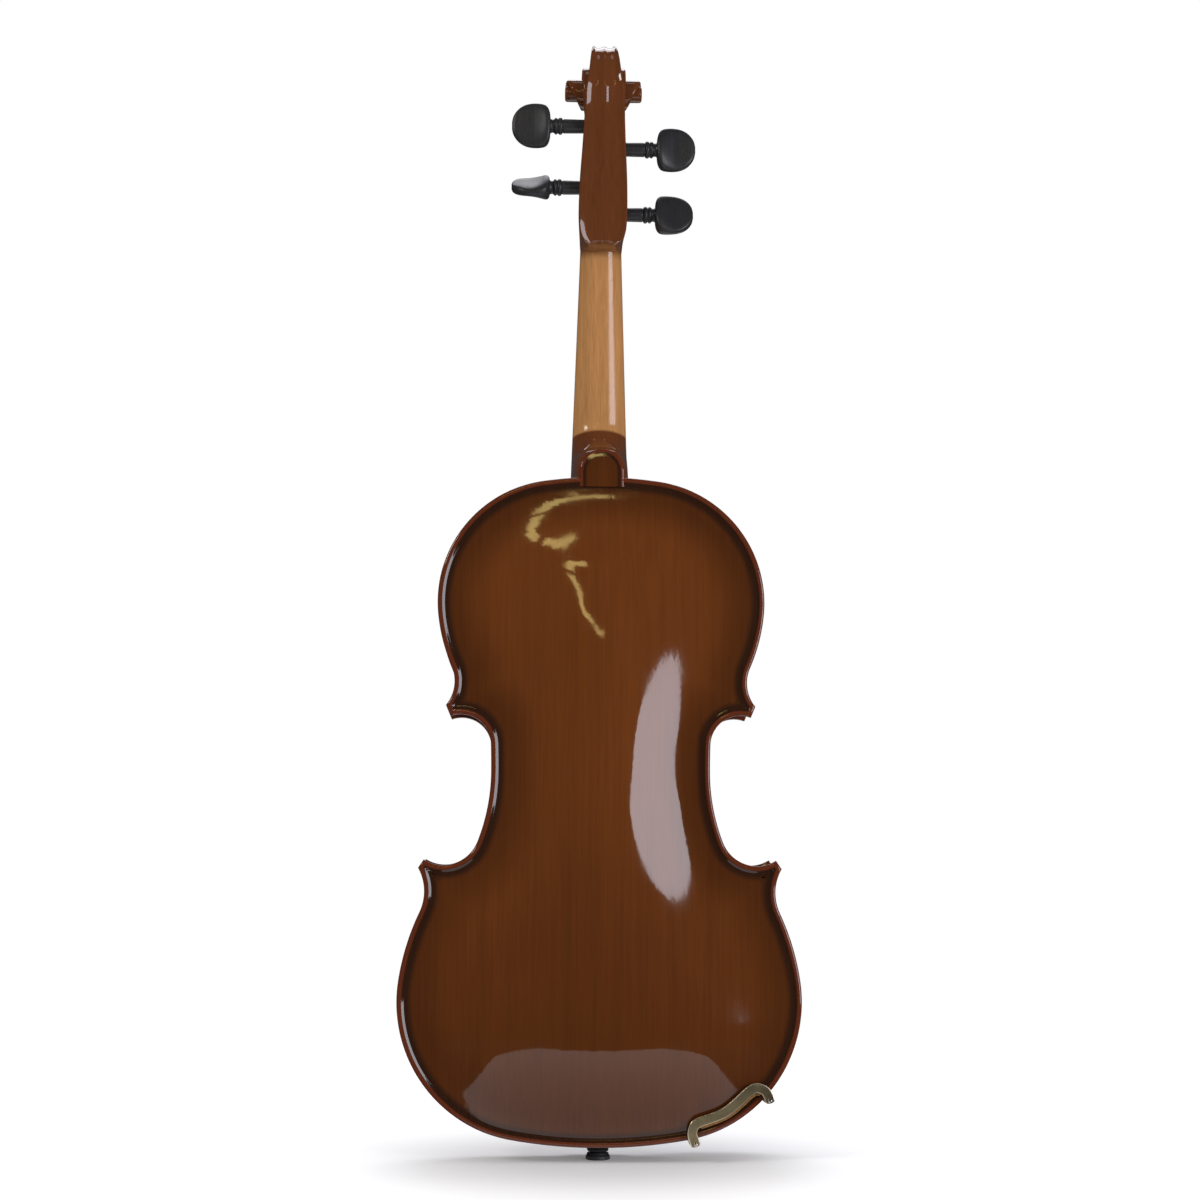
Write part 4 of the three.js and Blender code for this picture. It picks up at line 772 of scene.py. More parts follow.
def neck_finish(colours):
    """Dark varnish on the heel and head, a clear amber finish between them."""
    finish = Finish("neck varnish")
    # The line above the heel is highest in the middle, as a brush leaves it.
    x, z = finish.along("X"), finish.along("Z")
    bow = finish.times(finish.times(x, x), 10.0)
    above = finish.range(finish.plus(z, bow), 0.4493, 0.4513, 0, 1, True)
    below = finish.range(z, 0.557, 0.566, 1, 0, True)
    bare = finish.times(above, below)
    amber = grained(finish, colours.neck, 1500.0, 0.22)
    dark = grained(finish, colours.head, 700.0, 0.16)
    colour_now = finish.mix(bare, dark.outputs["Colour"], amber.outputs["Colour"])
    finish.bump(finish.noise(420.0, 2.0), 0.05, 0.0003)
    gloss = finish.range(bare, 0, 1, 0.07, 0.2)
    return finish.surface(colour_now, handled(finish, gloss, 0.03))


def wood_finish(name, colour_now, gloss, fineness, contrast, bump=0.1):
    """Plain wood with its grain in colour and relief."""
    finish = Finish(name)
    grain = grained(finish, colour_now, fineness, contrast)
    finish.bump(grain.outputs["Height"], bump, 0.0003)
    return finish.surface(grain.outputs["Colour"], handled(finish, gloss, 0.08))


def metal_finish(name, colour_now, gloss, dull, rim=None):
    """Plated metal with darker stains, and a painted highlight on the rim where one is marked."""
    finish = Finish(name)
    stain = finish.range(finish.noise(150.0, 4.0), 0.35, 0.75, 0, 1)
    stain = finish.times(stain, dull)
    body = finish.mix(stain, colour_now, darker(colour_now))
    # A highlight painted along the marked rim, in the given colour.
    if rim:
        shown = finish.node("ShaderNodeAttribute", attribute_name="painted_rim_highlight").outputs["Fac"]
        body = finish.mix(shown, body, rim)
    finish.bump(finish.noise(900.0, 2.0), 0.06, 0.0002)
    return finish.surface(body, handled(finish, gloss, 0.1, 90.0), Metallic=1.0)


def cork_finish(colours):
    """Speckled, dull cork."""
    finish = Finish("cork")
    cells = finish.node("ShaderNodeTexVoronoi")
    finish.join(finish.coordinates(), cells.inputs["Vector"])
    cells.inputs["Scale"].default_value = 900
    speck = finish.range(cells.outputs["Distance"], 0.1, 0.7, 0, 1)
    body = finish.mix(speck, darker(colours.cork), colours.cork)
    finish.bump(cells.outputs["Distance"], 0.6, 0.0003)
    return finish.surface(body, 0.9)


def darker(colour_now):
    """A shade for stains and specks in a colour."""
    return tuple(c * 0.45 for c in colour_now)


def string_finish():
    """Wound metal with silk at both ends."""
    finish = Finish("wound string")
    z = finish.along("Z")
    low = finish.range(z, 0.172, 0.1735, 1, 0)
    high = finish.range(z, 0.5742, 0.5752, 0, 1)
    silk = finish.math("MAXIMUM", low, high)
    wave = finish.node("ShaderNodeTexWave", wave_type="BANDS", bands_direction="Z")
    finish.join(finish.coordinates(), wave.inputs["Vector"])
    wave.inputs["Scale"].default_value = 900
    body = finish.mix(silk, linear(176, 174, 170), linear(92, 30, 40))
    body = finish.mix(finish.times(wave.outputs["Fac"], 0.25), body, linear(40, 34, 34))
    finish.bump(wave.outputs["Fac"], 0.3, 0.0001)
    gloss, metallic = finish.range(silk, 0, 1, 0.28, 0.8), finish.range(silk, 0, 1, 1, 0)
    return finish.surface(body, gloss, Metallic=metallic)


def shade_group():
    """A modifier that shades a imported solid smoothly, with its real corners kept sharp."""
    known = bpy.data.node_groups.get("Soft shading")
    if known:
        return known
    tree = bpy.data.node_groups.new("Soft shading", "GeometryNodeTree")
    for way in ("INPUT", "OUTPUT"):
        tree.interface.new_socket(name="Geometry", in_out=way, socket_type="NodeSocketGeometry")
    into, out = tree.nodes.new("NodeGroupInput"), tree.nodes.new("NodeGroupOutput")
    whole = tree.nodes.new("GeometryNodeMergeByDistance")
    whole.inputs["Distance"].default_value = 1e-6
    faces = tree.nodes.new("GeometryNodeSetShadeSmooth")
    edges = tree.nodes.new("GeometryNodeSetShadeSmooth")
    edges.domain = "EDGE"
    edges.inputs["Shade Smooth"].default_value = False
    bend = tree.nodes.new("GeometryNodeInputMeshEdgeAngle")
    above = tree.nodes.new("FunctionNodeCompare")
    above.inputs["B"].default_value = math.radians(32)
    for source, target in (
        (bend.outputs["Unsigned Angle"], above.inputs["A"]), (into.outputs[0], whole.inputs[0]),
        (whole.outputs[0], faces.inputs["Geometry"]), (faces.outputs[0], edges.inputs["Geometry"]),
        (above.outputs[0], edges.inputs["Selection"]), (edges.outputs[0], out.inputs[0]),
    ):
        tree.links.new(source, target)
    return tree


def soften(node):
    """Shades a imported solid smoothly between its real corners."""
    modifier = node.modifiers.new("soft shading", "NODES")
    modifier.node_group = shade_group()


# Every finish by its name, filled by the first operator.
FINISHES = {}


class VIOLA_OT_finishes(bpy.types.Operator):
    """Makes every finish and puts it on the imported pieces."""
    bl_idname = "viola.finishes"
    bl_label = "Finishes"

    def execute(self, context):
        colours = context.scene.viola_finish
        # The colour of the highlight painted along the clamp's rim.
        bright = linear(244, 232, 205)
        FINISHES.update(
            back_varnish=plate_finish("back varnish", colours, colours.varnish, 620.0, 0.16),
            belly_varnish=plate_finish("belly varnish", colours, colours.belly, 900.0, 0.3),
            rib_varnish=rib_finish(colours),
            neck_varnish=neck_finish(colours),
            bare_wood=wood_finish("bare wood", colours.bare, 0.75, 500.0, 0.15),
            ebony=wood_finish("ebony", colours.ebony, 0.42, 700.0, 0.25, 0.05),
            maple=wood_finish("bridge maple", colours.maple, 0.5, 900.0, 0.18),
            string_steel=string_finish(),
            gut=wood_finish("tail cord", (0.012, 0.012, 0.014), 0.4, 300.0, 0.1, 0.02),
            clamp_metal=metal_finish("clamp plating", colours.clamp, 0.34, 0.5, bright),
            nickel=metal_finish("tuner plating", linear(200, 196, 186), 0.2, 0.2),
            cork=cork_finish(colours),
        )
        for entry in frame["record"]["subparts"]:
            name, slot = entry["node"], entry["material_slot"]
            # The neck block shows beside the heel, between the ends of the ribs.
            if name.endswith("_rib") or name == "neck_block":
                slot = "rib_varnish"
            node = frame["nodes"][name]
            for index in range(max(1, len(node.material_slots))):
                if not node.material_slots:
                    node.data.materials.append(FINISHES[slot])
                node.material_slots[index].material = FINISHES[slot]
            soften(node)
        return {"FINISHED"}


class VIOLA_OT_plates(bpy.types.Operator):
    """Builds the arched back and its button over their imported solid."""
    bl_idname = "viola.plates"
    bl_label = "Plates"
    THICKNESS = 4.6

    def execute(self, context):
        sizes = context.scene.viola_sizes
        outline = Outline(sizes.outline_step)
        arch = sizes.back_arch
        back = plate_object(
            "arched_back", outline, Arching(outline), -1, arch, self.THICKNESS, sizes)
        mark_distance(back, outline)
        stands_for(back, "back_varnish", "instrument", "back_plate")
        stands_for(button_object(sizes), "back_varnish", "instrument")
        return {"FINISHED"}


# The head and neck. Places on them are [y, s] in the middle plane.

class Cage:
    """A coarse skin with some firm edges, the same on both sides, that is smoothed into a mesh."""

    def __init__(self):
        self.points, self.known, self.faces, self.firm = [], {}, [], {}

    def at(self, spot, side):
        """The number of a point, which is added where it is new."""
        key = (round(float(spot[0]) * side, 3), round(float(spot[1]), 3), round(float(spot[2]), 3))
        if key not in self.known:
            self.known[key] = len(self.points)
            self.points.append(key)
        return self.known[key]

    def face(self, *spots):
        """A face through spots, and its mirror image."""
        for side in (1, -1):
            ring = list(dict.fromkeys(self.at(spot, side) for spot in spots))
            if len(ring) > 2:
                self.faces.append(ring[::side])

    def strip(self, one, two, firm=()):
        """Faces between two rows, and firm edges along the numbered places of the rows."""
        for a in range(len(one) - 1):
            self.face(one[a], two[a], two[a + 1], one[a + 1])
        for place, firmness in firm:
            for side in (1, -1):
                pair = frozenset((self.at(one[place], side), self.at(two[place], side)))
                self.firm[pair] = firmness

    def smoothed(self, name, levels):
        """The mesh, with each face split so many times."""
        def crease(shape):
            layer = shape.edges.layers.float.new("crease_edge")
            for line in shape.edges:
                line[layer] = self.firm.get(frozenset(v.index for v in line.verts), 0.0)
        points = [up_from_edge(*spot) for spot in self.points]
        piece = reworked(new_object(name, points, self.faces), crease)
        rounding = piece.modifiers.new("rounding", "SUBSURF")
        rounding.levels = rounding.render_levels = levels
        return settled(piece)


class Scroll:
    """The spiral of the head: where its outer edge runs, and how wide it is there."""
    # The eye, and the way in to it: so many steps a turn and steps in all, from START in degrees
    # over the crown, whose reach shrinks at RATE for each degree after CROWN_TURN.
    MIDDLE, STEPS, COUNT, START = np.array([-18.6, 649.6]), 40, 140, 255
    CROWN, CROWN_TURN, CROWN_SLOPE, RATE = 28.5, 165, 0.028, 0.001825
    # The spiral starts after so many steps, and a curve leads from the throat to there.
    JOIN, THROAT, THROAT_BEND = 8, np.array([-43.2, 626.5]), np.array([-49.3, 637.5])
    # Half the width at a turn in degrees.
    WIDTHS = np.array([
        [0, 12.6], [60, 12], [90, 9.7], [135, 7.7], [165, 6.9], [255, 6.8], [345, 10.5],
        [375, 12.4], [435, 13.4], [525, 13.5], [615, 13.7], [705, 14.7], [750, 17.2],
        [795, 20.6], [840, 22.7], [885, 23.5], [960, 23.9],
    ])
    BEVEL, FLUTE, SPINE = 1.0, 1.5, 0.25

    def turn(self, i):
        """How far the spiral has turned at a step, in degrees."""
        return i * 360 / self.STEPS

    def on_spiral(self, i):
        """The spiral itself at a step."""
        turn = self.turn(i)
        past = turn - self.CROWN_TURN
        reach = self.CROWN
        reach = reach - past * self.CROWN_SLOPE if past < 0 else reach * math.exp(-self.RATE * past)
        angle = math.radians(self.START - turn)
        return self.MIDDLE + reach * np.array([math.cos(angle), math.sin(angle)])

    def edge(self, i):
        """The back's outer edge at a step."""
        if i >= self.JOIN:
            return self.on_spiral(i)
        t, last = i / self.JOIN, self.on_spiral(self.JOIN)
        return (1 - t) ** 2 * self.THROAT + 2 * t * (1 - t) * self.THROAT_BEND + t * t * last

    def half(self, i):
        """Half the back's width at a step."""
        return float(np.interp(self.turn(i), self.WIDTHS[:, 0], self.WIDTHS[:, 1]))

    def flutes(self, half, bevel=1.0):
        """Places across one half of the back: [x, depth] from the spine to past the edge."""
        return [(0, self.SPINE), (half * 0.3, self.FLUTE), (half * 0.68, self.FLUTE),
                (half - self.BEVEL, 0), (half, self.BEVEL * bevel)]

    def section(self, back, front, back_half, front_half, hollow):
        """One half of a section, from the middle of its back to the middle of its front."""
        into = front - back
        depth = float(np.linalg.norm(into))
        into = into / depth

        def blend(plain, hollowed):
            return plain + (hollowed - plain) * hollow
        waist = blend(back_half + (front_half - back_half) * 0.45, back_half - 1.7)
        places = self.flutes(back_half)
        places.append((waist, (self.BEVEL + depth) / 2))
        places.append((blend(front_half, back_half - 2.3), depth - blend(self.BEVEL, 0.15)))
        front_flutes = self.flutes(front_half)[:4][::-1]
        places += [(x, depth - down * hollow) for x, down in front_flutes]
        return [(x, *(back + into * down)) for x, down in places]

    def rim(self, i):
        """One half of the fluted back at a place where the next turn covers nothing."""
        edge = self.edge(i)
        inward = self.MIDDLE - edge
        inward = inward / np.linalg.norm(inward)
        return [(x, *(edge + inward * down)) for x, down in self.flutes(self.half(i), 0.8)]


# The pegbox from the chin to the throat: back [y, s, half], front [y, s, half].
PEGBOX = [
    [-2, 553.6, 2.2, 13, 551, 12.9], [-9, 553.8, 5, 12.9, 553, 13.1],
    [-13.6, 554.7, 8.6, 12.8, 555, 13.3], [-15.5, 556.6, 11.8, 12.6, 557.5, 13.5],
    [-16.6, 559.6, 13.8, 12.2, 560.5, 13.6], [-18, 564.5, 14.9, 11.3, 564.5, 13.7],
    [-21.2, 574, 15.3, 7.2, 573.5, 13.6], [-28.3, 592, 14.8, -2.6, 590.5, 13.2],
    [-36.5, 611, 13.5, -13.9, 610.5, 12.8],
]
# How firm the edges are along the head: [place in the row, firmness].
LENGTHWISE = [(0, 0.5), (3, 0.55), (4, 0.6)]
FRONT_EDGES = [(6, 0.4), (7, 0.4)]
FLANK_EDGES = [(0, 0.55), (1, 0.6), (3, 0.5), (4, 0.55)]
RIM_EDGES = [(0, 0.55), (1, 0.8)]


def head_object():
    """The pegbox and scroll, carved with two flutes along the back and a volute on each side."""
    scroll, cage = Scroll(), Cage()
    turn, last = scroll.STEPS, scroll.COUNT - scroll.STEPS
    spiral = []
    for i in range(last + 1):
        hollow = eased(min(i / 10, 1))
        ends = scroll.edge(i), scroll.edge(i + turn)
        spiral.append(scroll.section(*ends, scroll.half(i), scroll.half(i + turn), hollow))
    rims = [spiral[i][:5] if i <= last else scroll.rim(i) for i in range(scroll.COUNT + 1)]
    throat = [*scroll.edge(0), scroll.half(0), *scroll.edge(turn), scroll.half(turn)]
    rows = []
    for row in through(PEGBOX + [throat], 3)[:-1]:
        rows.append(scroll.section(row[:2], row[3:5], row[2], row[5], 0.0))
    rows.append(spiral[0][:7] + rims[turn][3::-1])
    for one, two in zip(rows, rows[1:]):
        cage.strip(one, two, LENGTHWISE + FRONT_EDGES)
    cage.face(*rows[0])
    # The back of the first turn, then its flanks, then the last turn's rim round the eye.
    for i in range(turn):
        cage.strip(rims[i][:4], rims[i + 1][:4], LENGTHWISE[:2])
    flank = [spiral[i][3:7] + [rims[i + turn][3]] for i in range(last + 1)]
    for one, two in zip(flank, flank[1:]):
        cage.strip(one, two, FLANK_EDGES)
    for i in range(last, scroll.COUNT):
        cage.strip(rims[i][3:5], rims[i + 1][3:5], RIM_EDGES)
    brim = [rims[i][4] for i in range(last, scroll.COUNT + 1)]
    brim += [rims[scroll.COUNT][3], spiral[last][6], spiral[last][5]]
    eye = np.array([scroll.half(scroll.COUNT) + 0.3, *scroll.MIDDLE])
    inner = [tuple(eye + (np.array(p) - eye) * 0.6 + np.array([0.1, 0, 0])) for p in brim]
    cage.strip(brim + brim[:1], inner + inner[:1])
    cage.face(*inner)
    return cage.smoothed("head", 2)


def neck_object():
    """The neck, from the heel under the button to the chin of the pegbox."""
    # Where the heel's flat back ends, how deep it is, how long its curve into the neck is, and
    # half the width of its round end.
    heel_end, heel_back, heel_run, button = BODY_LENGTH + 17.6, -18.7, 22.0, 13.6
    # The level of the neck's back above the heel, and how far it falls back for each mm up.
    neck_back, lean = 12.5, 0.1158
    stations = list(np.arange(402, 414, 3.0))
    stations += [heel_end - button + button * math.sin(k * math.pi / 24) for k in range(13)]
    stations += [heel_end + heel_run * (1 - math.cos(k * math.pi / 32)) for k in range(1, 17)]
    stations += list(np.arange(450, 558, 6.0)) + [559.5]
    rings = []
    for s in stations:
        # Half the width and the level of its front change evenly along it.
        wide = 13 + 10.5 * (556 - s) / 308
        front = 30.2 + 0.1134 * (BODY_LENGTH - s)
        past = s - (heel_end - button)
        narrow = button if past <= 0 else math.sqrt(max(button ** 2 - past ** 2, 4))
        rest = heel_end + heel_run - s
        if s <= heel_end:
            back = heel_back
        elif rest > 0:
            back = heel_back + (neck_back - heel_back) * math.sqrt(1 - (rest / heel_run) ** 2)
        else:
            back = neck_back + rest * lean
        side = []
        for k in range(13):
            turn = k * math.pi / 24
            x = narrow + (wide - narrow) * math.cos(turn)
            side.append((x, front + (back - front) * math.sin(turn)))
        ring = side + [(-x, y) for x, y in side[::-1]]
        rings.append([up_from_edge(x, y, s) for x, y in ring])
    return rings_object("neck", rings)


def trough_object():
    """What is cut from the pegbox to make room for the strings, from its outline [y, s]."""
    profile = [
        (30, 563.6), (-8.5, 564.6), (-12.2, 569), (-21.6, 592), (-32, 611), (-35.8, 620),
        (-36.6, 627), (-33.5, 630.8), (-28, 631), (-22, 629), (10, 620), (30, 600),
    ]
    rings = []
    for side in (-1, 1):
        # The trough narrows upwards.
        rings.append([up_from_edge(side * (8.4 - 1.6 * (s - 563) / 67), y, s) for y, s in profile])
    return rings_object("trough", rings)


# The pegs: side along X, the axis [y, s], how far the head is rolled in degrees, and the tip.
PEGS = {
    "c": (1, -7, 575, 22, -14.3), "a": (-1, -14.3, 590, 58, -13.9),
    "g": (1, -25.5, 611.6, 4, -12.9), "d": (-1, -30, 624.6, -3, -12.4),
}
# Their turned part: [distance out, radius].
PEG_TURNING = [
    [12, 4.23], [24.6, 4.44], [25, 4.4], [25.25, 4.15], [25.7, 4.2], [26, 4.75], [26.35, 5.1],
    [26.8, 5.25], [27.3, 5.3], [27.8, 5.15], [28.15, 4.8], [28.35, 4.5], [28.8, 4.5],
    [29.05, 4.8], [29.5, 5.15], [29.9, 5.2], [30.3, 5.05], [30.65, 4.6], [31, 4.2],
    [31.8, 4.05], [32.6, 4.2], [33.6, 4.9], [34.6, 5.2],
]
# Their head: [distance out, half height, half thickness].
PEG_HEAD = [
    [33.2, 4.4, 4.5], [33.5, 7.4, 5.7], [34.4, 10.4, 6.4], [36.2, 12.6, 6.3], [39.4, 13.6, 5.2],
    [44, 13.8, 4], [48, 13.1, 3.7], [51.6, 11.3, 3.9], [54.4, 8.6, 3.8], [56.3, 5.4, 3],
    [57.1, 2.2, 1.6],
]


def peg_object(name, side, y, s, roll, tip):
    """A turned peg with its flattened head, rolled about its axis."""
    roll_up, roll_along = math.cos(math.radians(roll)), math.sin(math.radians(roll))

    def spot(out, up, deep):
        rise = up * roll_up - deep * roll_along
        return up_from_edge(side * out, y + up * roll_along + deep * roll_up, s + rise)

    # The shaft thins towards its tip by one in thirty.
    slim = 4.45 - (25 - tip) / 60
    turning = [[tip, slim - 0.7], [tip + 0.2, slim - 0.25], [tip + 0.8, slim]] + PEG_TURNING
    rings = [[spot(out, radius * b, radius * a) for a, b in around(40)] for out, radius in turning]
    shaft = rings_object(name, rings)
    rings = []
    for out, tall, thick in through(PEG_HEAD, 4):
        # Its cheeks are flat, and dished further out.
        deep = 0.22 * min(max((out - 36) / 8, 0), 1)
        rings.append([
            spot(out, tall * b, thick * math.copysign(abs(a) ** 0.55, a) * (1 - deep * a ** 2))
            for a, b in around(48)
        ])
    return carved(shaft, rings_object("peg_head", rings), "UNION", 40)


class VIOLA_OT_head(bpy.types.Operator):
    """Carves the neck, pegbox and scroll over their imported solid."""
    bl_idname = "viola.head"
    bl_label = "Neck and head"

    def execute(self, context):
        head = carved(head_object(), trough_object(), "DIFFERENCE")
        neck = carved(neck_object(), head, "UNION", 38)
        neck.name = "neck_and_head"
        check_faces(neck, 1000)
        stands_for(neck, "neck_varnish", "instrument", "neck_and_scroll")
        return {"FINISHED"}


class VIOLA_OT_pegs(bpy.types.Operator):
    """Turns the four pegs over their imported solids."""
    bl_idname = "viola.pegs"
    bl_label = "Pegs"

    def execute(self, context):
        for letter, values in PEGS.items():
            peg = peg_object(f"{letter}_peg_turned", *values)
            check_faces(peg, 1000)
            stands_for(peg, "ebony", f"{letter}_peg", f"{letter}_peg")
        return {"FINISHED"}


# The belly's sound holes: an S shaped slit with a nick near its middle and an eye at each end,
# as the slit's middle line [x, s] and the eyes' [x, s, radius].
HOLE_PATH = [
    [27, 226], [32.5, 230.5], [37, 224.5], [38.7, 208], [40.3, 189], [42, 170], [44, 153],
    [48.5, 147.5], [53.5, 150.5],
]
HOLE_EYES = [(28, 222, 4.4), (52.5, 155.5, 5.8)]
# The nick's place along the slit, and its depth.
NICK_AT, NICK_DEPTH = 0.47, 1.5
HEEL_SLOT = [(-18.2, 400.6), (18.2, 400.6), (18.2, 411), (-18.2, 411)]
SADDLE_SLOT = [(-19.3, -3), (19.3, -3), (19.3, 6.7), (-19.3, 6.7)]
# How far a plate's edge stands out over the ribs.
OVERHANG = 3.2


def punch(name, outline, high):
    """A straight cutter through the belly, from an outline of [x, s]."""
    levels = (PLATE_INNER - 2, PLATE_INNER + high)
    return rings_object(name, [[up_from_edge(x, y, s) for x, s in outline] for y in levels])


def sound_hole(side):
    """The cutter of one sound hole: its slit, wider at the middle, and its eyes."""
    path = through(HOLE_PATH, 7)
    t = np.linspace(0, 1, len(path))
    half = 0.9 + 2.3 * np.sin(np.pi * t) ** 1.4
    half[np.argmin(abs(t - NICK_AT))] += NICK_DEPTH
    across = ways(path)[1] * half[:, None]
    ring = [(side * x, s) for x, s in np.concatenate([path + across, (path - across)[::-1]])]
    hole = punch("slit", ring, 22)
    for x, s, radius in HOLE_EYES:
        eye = [(side * x + radius * a, s + radius * b) for a, b in around(40)]
        carved(hole, punch("eye", eye, 22), "UNION")
    return hole


def bare_inside(piece, side):
    """Leaves the inner face of a plate as bare wood, within the ribs."""
    piece.data.materials.append(FINISHES["bare_wood"])
    marks = piece.data.attributes["rim_distance"].data
    for face in piece.data.polygons:
        inwards = face.normal.y * side < -0.3
        if inwards and min(marks[k].value for k in face.vertices) > OVERHANG:
            face.material_index = 1


class VIOLA_OT_belly(bpy.types.Operator):
    """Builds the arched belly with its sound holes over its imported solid."""
    bl_idname = "viola.belly"
    bl_label = "Belly"
    THICKNESS = 3.2

    def execute(self, context):
        sizes = context.scene.viola_sizes
        outline = Outline(sizes.outline_step)
        arch = sizes.belly_arch
        belly = plate_object(
            "arched_belly", outline, Arching(outline), 1, arch, self.THICKNESS, sizes)
        cuts = [sound_hole(1), sound_hole(-1)]
        cuts += [punch("slot", slot, 12) for slot in (HEEL_SLOT, SADDLE_SLOT)]
        carved(belly, gathered("cutters", cuts), "DIFFERENCE", 50)
        check_faces(belly, 5000)
        mark_distance(belly, outline)
        stands_for(belly, "belly_varnish", "instrument", "top_plate")
        bare_inside(belly, 1)
        return {"FINISHED"}


# The chin rest: a dished plate on a foot, held by a clamp of two brackets round the body's edge.
# Its plate is a rounded square [x, s] that leans with s.
CHIN_MIDDLE, CHIN_HALF, CHIN_SQUARENESS, CHIN_TILT = (70, 51), (42, 36), 2.4, -0.06
# Rings from the middle of its underside over the rim to the dish: [share of size, height].
CHIN_RINGS = [
    [0.03, 36.9], [0.45, 37.4], [0.8, 39.4], [0.95, 42], [0.995, 44], [0.995, 45.1],
    [0.96, 45.7], [0.9, 45.2], [0.8, 43.9], [0.6, 41.9], [0.3, 40.7], [0.03, 40.4],
]
# The middle lines [x, s] of a bracket, of the foot and of a cork pad, and their levels.
CLAMP_PATH = [
    [57.6, 2.4], [55.6, 9], [57.8, 14.6], [65.8, 17.8], [72.5, 20.3], [78, 23.5], [83.8, 28.4],
    [89, 33.2], [93.8, 36], [98.8, 34.6], [101.2, 31.5], [102.3, 28.2],
]
FOOT_PATH = CLAMP_PATH[3:9]
CORK_PATH = [[60.5, 16]] + FOOT_PATH + [[96.5, 35.6]]
CLAMP_HALF, CLAMP_LEVEL, CLAMP_TOP, CORK_LEVEL, CORK_TOP = 2.95, 25.75, 27.55, 23.65, 25.45
# A rod of a bracket: [height, radius].
ROD = [
    (2.2, 0.4), (2.3, 1.1), (2.6, 1.3), (CLAMP_LEVEL, 1.3), (CLAMP_TOP - 0.1, 1.3),
    (CLAMP_TOP + 0.1, 1.2), (CLAMP_TOP + 0.2, 0.8), (CLAMP_TOP + 0.25, 0.1),
]
# The turns of a band's rounded end.
BAND_END = [math.pi * k / 8 for k in range(1, 8)]


def band_ring(path, half, drift=0.0):
    """The outline of a band of even width along a path, with round ends."""
    along, across = ways(path)
    middle = path - across * drift

    def end(at, side):
        bow = [across[at] * math.cos(a) + 0.5 * along[at] * math.sin(a) for a in BAND_END]
        return [middle[at] + side * half * out for out in bow]
    return [*(middle + across * half), *end(-1, 1), *(middle - across * half)[::-1], *end(0, -1)]


def band_object(name, path, half, low, high, side, bevel, drift=0.0):
    """A flat band with rounded edges. Its upper rim is marked for a painted highlight in the
    finish.
    """
    path = through(path, 5)
    # Each level: [inset, height, strength of the painted highlight].
    levels = [
        (bevel, low, 0), (0, low + bevel, 0), (0, high - bevel, 0.8),
        (bevel * 0.3, high - bevel * 0.3, 1), (bevel, high, 1), (bevel * 2.2, high, 0),
    ]
    rings, marks = [], []
    for inset, level, shine in levels:
        outline = band_ring(path, half - inset, drift)
        rings.append([up_from_edge(x, side * level, s) for x, s in outline])
        # The painted highlight is strong along one side and round the ends, and dim along the other
        # side.
        end = [shine] * len(BAND_END)
        marks += [shine] * len(path) + end + [shine * 0.35] * len(path) + end
    piece = rings_object(name, rings, sharp=60)
    mark(piece, "painted_rim_highlight", marks)
    return piece


def rods_object(name, side):
    """The two rods of a clamp bracket, each drawn through it and peened to a low dome."""
    rods = []
    for x, s in (CLAMP_PATH[0], CLAMP_PATH[-1]):
        rings = []
        for y, radius in ROD:
            rings.append([up_from_edge(x + radius * a, side * y, s + radius * b)
                          for a, b in around(24)])
        rods.append(rings_object(name, rings))
    piece = gathered(name, rods)
    piece.name = name
    piece.data.set_sharp_from_angle(angle=math.radians(50))
    return piece


def chin_rest_object():
    """The chin rest's dished plate on its foot."""
    rings = []
    for share, level in through(CHIN_RINGS, 4):
        ring = []
        for a, b in around(72):
            square = abs(a) ** CHIN_SQUARENESS + abs(b) ** CHIN_SQUARENESS
            reach = share * square ** (-1 / CHIN_SQUARENESS)
            across, along = CHIN_HALF[0] * reach * a, CHIN_HALF[1] * reach * b
            height = level + CHIN_TILT * along
            ring.append(up_from_edge(CHIN_MIDDLE[0] + across, height, CHIN_MIDDLE[1] + along))
        rings.append(ring)
    plate = rings_object("chin_rest_cup", rings)
    foot = band_object("foot", FOOT_PATH, 4.6, CLAMP_TOP + 0.3, 41.0, 1, 0.6)
    return carved(plate, foot, "UNION", 50)


class VIOLA_OT_chin_rest(bpy.types.Operator):
    """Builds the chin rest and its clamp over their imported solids."""
    bl_idname = "viola.chin_rest"
    bl_label = "Chin rest"

    def execute(self, context):
        stands_for(chin_rest_object(), "ebony", "instrument", "chin_rest")
        for which, side, body in (("upper", 1, "instrument"), ("lower", -1, "lower_clamp")):
            bracket = band_object(
                f"{which}_bracket", CLAMP_PATH, CLAMP_HALF, CLAMP_LEVEL, CLAMP_TOP, side, 0.32)
            stands_for(bracket, "clamp_metal", body, f"{which}_clamp")
            rods = rods_object(f"{which}_clamp_rods", side)
            stands_for(rods, "clamp_metal", body, finish="nickel")
            pad = band_object(
                f"{which}_cork_pad", CORK_PATH, CLAMP_HALF + 0.25, CORK_LEVEL, CORK_TOP, side,
                0.3, 1.3)
            stands_for(pad, "cork", body, f"{which}_clamp_cork")
        return {"FINISHED"}


def lamp(name, place, target, size, colour_now, power):
    """An area lamp at a place, turned to a target. Sizes are in metres, power in watts."""
    light = bpy.data.lights.new(name, "AREA")
    light.shape = "RECTANGLE"
    light.size, light.size_y = size
    light.color = colour_now
    light.energy = power
    made = bpy.data.objects.new(name, light)
    made.location = place
    made.rotation_euler = (Vector(target) - Vector(place)).to_track_quat("-Z", "Y").to_euler()
    bpy.context.scene.collection.objects.link(made)
    return made


